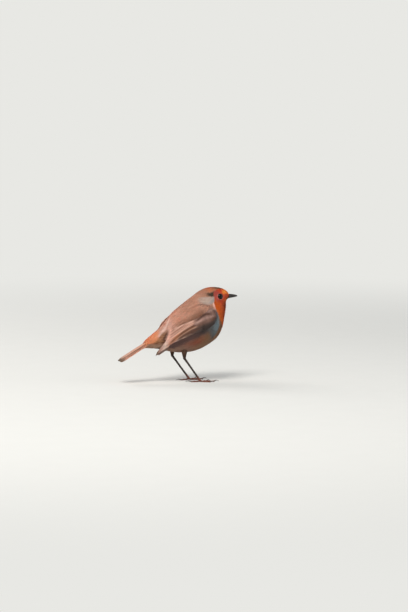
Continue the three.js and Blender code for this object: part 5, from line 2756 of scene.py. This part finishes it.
@dataclass
class Studio:
    """The camera, the lights, the floor and the pale surroundings.

    Attributes:
        azimuth: The camera's turn from the bird's right side, in degrees.
        elevation: The degrees from which it looks down.
        lens: Its focal length in millimetres.
        distance: How far off it is, in metres.
        right_shift: How far it is moved to its right.
        up_shift: How far it is moved up.
        pale: The colour of floor and surroundings.
        floor_rings: The radii of the floor's rings.
        floor_sides: The points round each.
        sky: The colour of the even light.
        sky_strength: Its strength.
    """

    azimuth: float = -18.0
    elevation: float = 6.0
    lens: float = 200.0
    distance: float = 3.3
    right_shift: float = 0.0248
    up_shift: float = 0.0731
    pale: Array = held(srgb(232, 232, 228))
    floor_rings: tuple[float, ...] = (0.25, 0.6, 1.2, 2.4)
    floor_sides: int = 96
    sky: tuple[float, float, float] = (0.94, 0.97, 1.0)
    sky_strength: float = 0.4

    def camera(self) -> None:
        """A long lens at a slight height that looks along the azimuth and elevation."""
        a, e = math.radians(self.azimuth), math.radians(self.elevation)
        back = Vector((math.sin(a) * math.cos(e), -math.cos(a) * math.cos(e), math.sin(e)))
        right = Vector((math.cos(a), math.sin(a), 0))
        up = back.cross(right)
        data = bpy.data.cameras.new("camera")
        data.lens, data.sensor_width, data.clip_start = self.lens, 36.0, 0.05
        made = bpy.data.objects.new("camera", data)
        place = right * self.right_shift + up * self.up_shift + back * self.distance
        turned = Matrix((right, up, back)).transposed().to_4x4()
        made.matrix_world = Matrix.Translation(place) @ turned
        bpy.context.scene.collection.objects.link(made)
        bpy.context.scene.camera = made

    @staticmethod
    def lamp(
        name: str, place: Sequence[float], size: float, power: float, colour: Sequence[float]
    ) -> None:
        """A square lamp that points at the bird's middle.

        Args:
            name: Its name.
            place: Where it is.
            size: The length of its side.
            power: Its watts.
            colour: Its colour.
        """
        data = bpy.data.lights.new(name, "AREA")
        data.size, data.energy, data.color = size, power, colour
        made = bpy.data.objects.new(name, data)
        made.location = place
        way = Vector((0.01, 0, 0.05)) - Vector(place)
        made.rotation_euler = way.to_track_quat("-Z", "Y").to_euler()
        bpy.context.scene.collection.objects.link(made)

    def floor(self) -> None:
        """A round floor that fades, for the camera, into the pale surroundings."""
        sides = self.floor_sides
        turn = TURN * np.arange(sides) / sides
        circle = np.stack([np.cos(turn), np.sin(turn), 0 * turn], 1)
        points = np.concatenate([[[0, 0, 0]], *(radius * circle for radius in self.floor_rings)])
        quads = 1 + sheet(len(self.floor_rings), sides)[0][:, [0, 3, 2, 1]]
        j = np.arange(sides)
        middle = np.stack([0 * j, 1 + j, 1 + (j + 1) % sides], 1)
        mesh = bpy.data.meshes.new("floor")
        mesh.from_pydata(points.tolist(), [], quads.tolist() + middle.tolist())
        made = bpy.data.objects.new("floor", mesh)
        material = bpy.data.materials.new("floor")
        material.use_nodes = True
        graph = Graph(material.node_tree)
        far = graph.node("ShaderNodeVectorMath", {"operation": "LENGTH"}, graph.place())
        fade = far.value("Value").ease(0.35, 1.1)
        fade = fade * graph.node("ShaderNodeLightPath").value("Is Camera Ray")
        speck = graph.noise(40.0, 3.0)
        sockets = {"Base Color": graph.shaded(tuple(self.pale), speck * 0.03 + 0.96)}
        sockets |= {"Roughness": 0.9, "Specular IOR Level": 0.1}
        plain = graph.node("ShaderNodeBsdfPrincipled", {}, **sockets)
        glow = graph.node("ShaderNodeEmission", {}, Color=tuple(self.pale), Strength=1.0)
        mixed = graph.node("ShaderNodeMixShader", {}, fade, plain.out(), glow.out())
        graph.node("ShaderNodeOutputMaterial", {}, Surface=mixed.out())
        mesh.materials.append(material)
        bpy.context.scene.collection.objects.link(made)

    def world(self) -> None:
        """Even light all round, and the pale surroundings that the camera sees."""
        world = bpy.data.worlds.new("studio")
        world.use_nodes = True
        bpy.context.scene.world = world
        graph = Graph(world.node_tree)
        seen = graph.node("ShaderNodeLightPath").value("Is Camera Ray")
        light = graph.node("ShaderNodeBackground", {}, Color=self.sky, Strength=self.sky_strength)
        view = graph.node("ShaderNodeBackground", {}, Color=tuple(self.pale), Strength=1.0)
        mixed = graph.node("ShaderNodeMixShader", {}, seen, light.out(), view.out())
        graph.node("ShaderNodeOutputWorld", {}, Surface=mixed.out())

    def build(self) -> None:
        """Sets up the camera, the surroundings, the floor and the lamps."""
        self.camera()
        self.world()
        self.floor()
        self.lamp("key", (-0.5, -0.6, 1.2), 0.6, 12.0, (1.0, 0.97, 0.93))
        self.lamp("back", (-0.6, 0.9, 0.9), 0.8, 6.5, (1.0, 0.97, 0.94))
        self.lamp("front", (1.1, -0.5, 0.5), 0.8, 3.0, (0.96, 0.98, 1.0))
        bpy.context.scene.view_settings.view_transform = "Standard"


def main() -> None:
    """Builds the bird round its frame."""
    logging.basicConfig(level=logging.INFO, format="%(name)s %(message)s")
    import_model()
    forms = {side: WingForm.of(side) for side in Side}
    fields = {side: form.fields() for side, form in forms.items()}
    markings = Markings()
    down = DownFinish()
    legs = (
        Leg(Side.RIGHT, (3.2, -8.0, 37), (2.9, -10.2, 23.5), (18.2, -11.2, 1.65), -4),
        Leg(Side.LEFT, (-3.4, 7.8, 37.5), (-3.2, 10, 24.3), (13.2, 8.4, 1.65), 6),
    )
    coat = Coat(DrapedBody(fields), markings, down)
    Skin(Body(), coat, legs).build()
    coat.build()
    Thighs(legs, markings, down).build()
    for leg in legs:
        leg.build()
    Bill().build()
    for side in Side:
        Eye(side).build()
        Wing(side, forms[side], fields[side]).build()
    Tail().build()
    Studio().build()


if __name__ == "__main__":
    main()
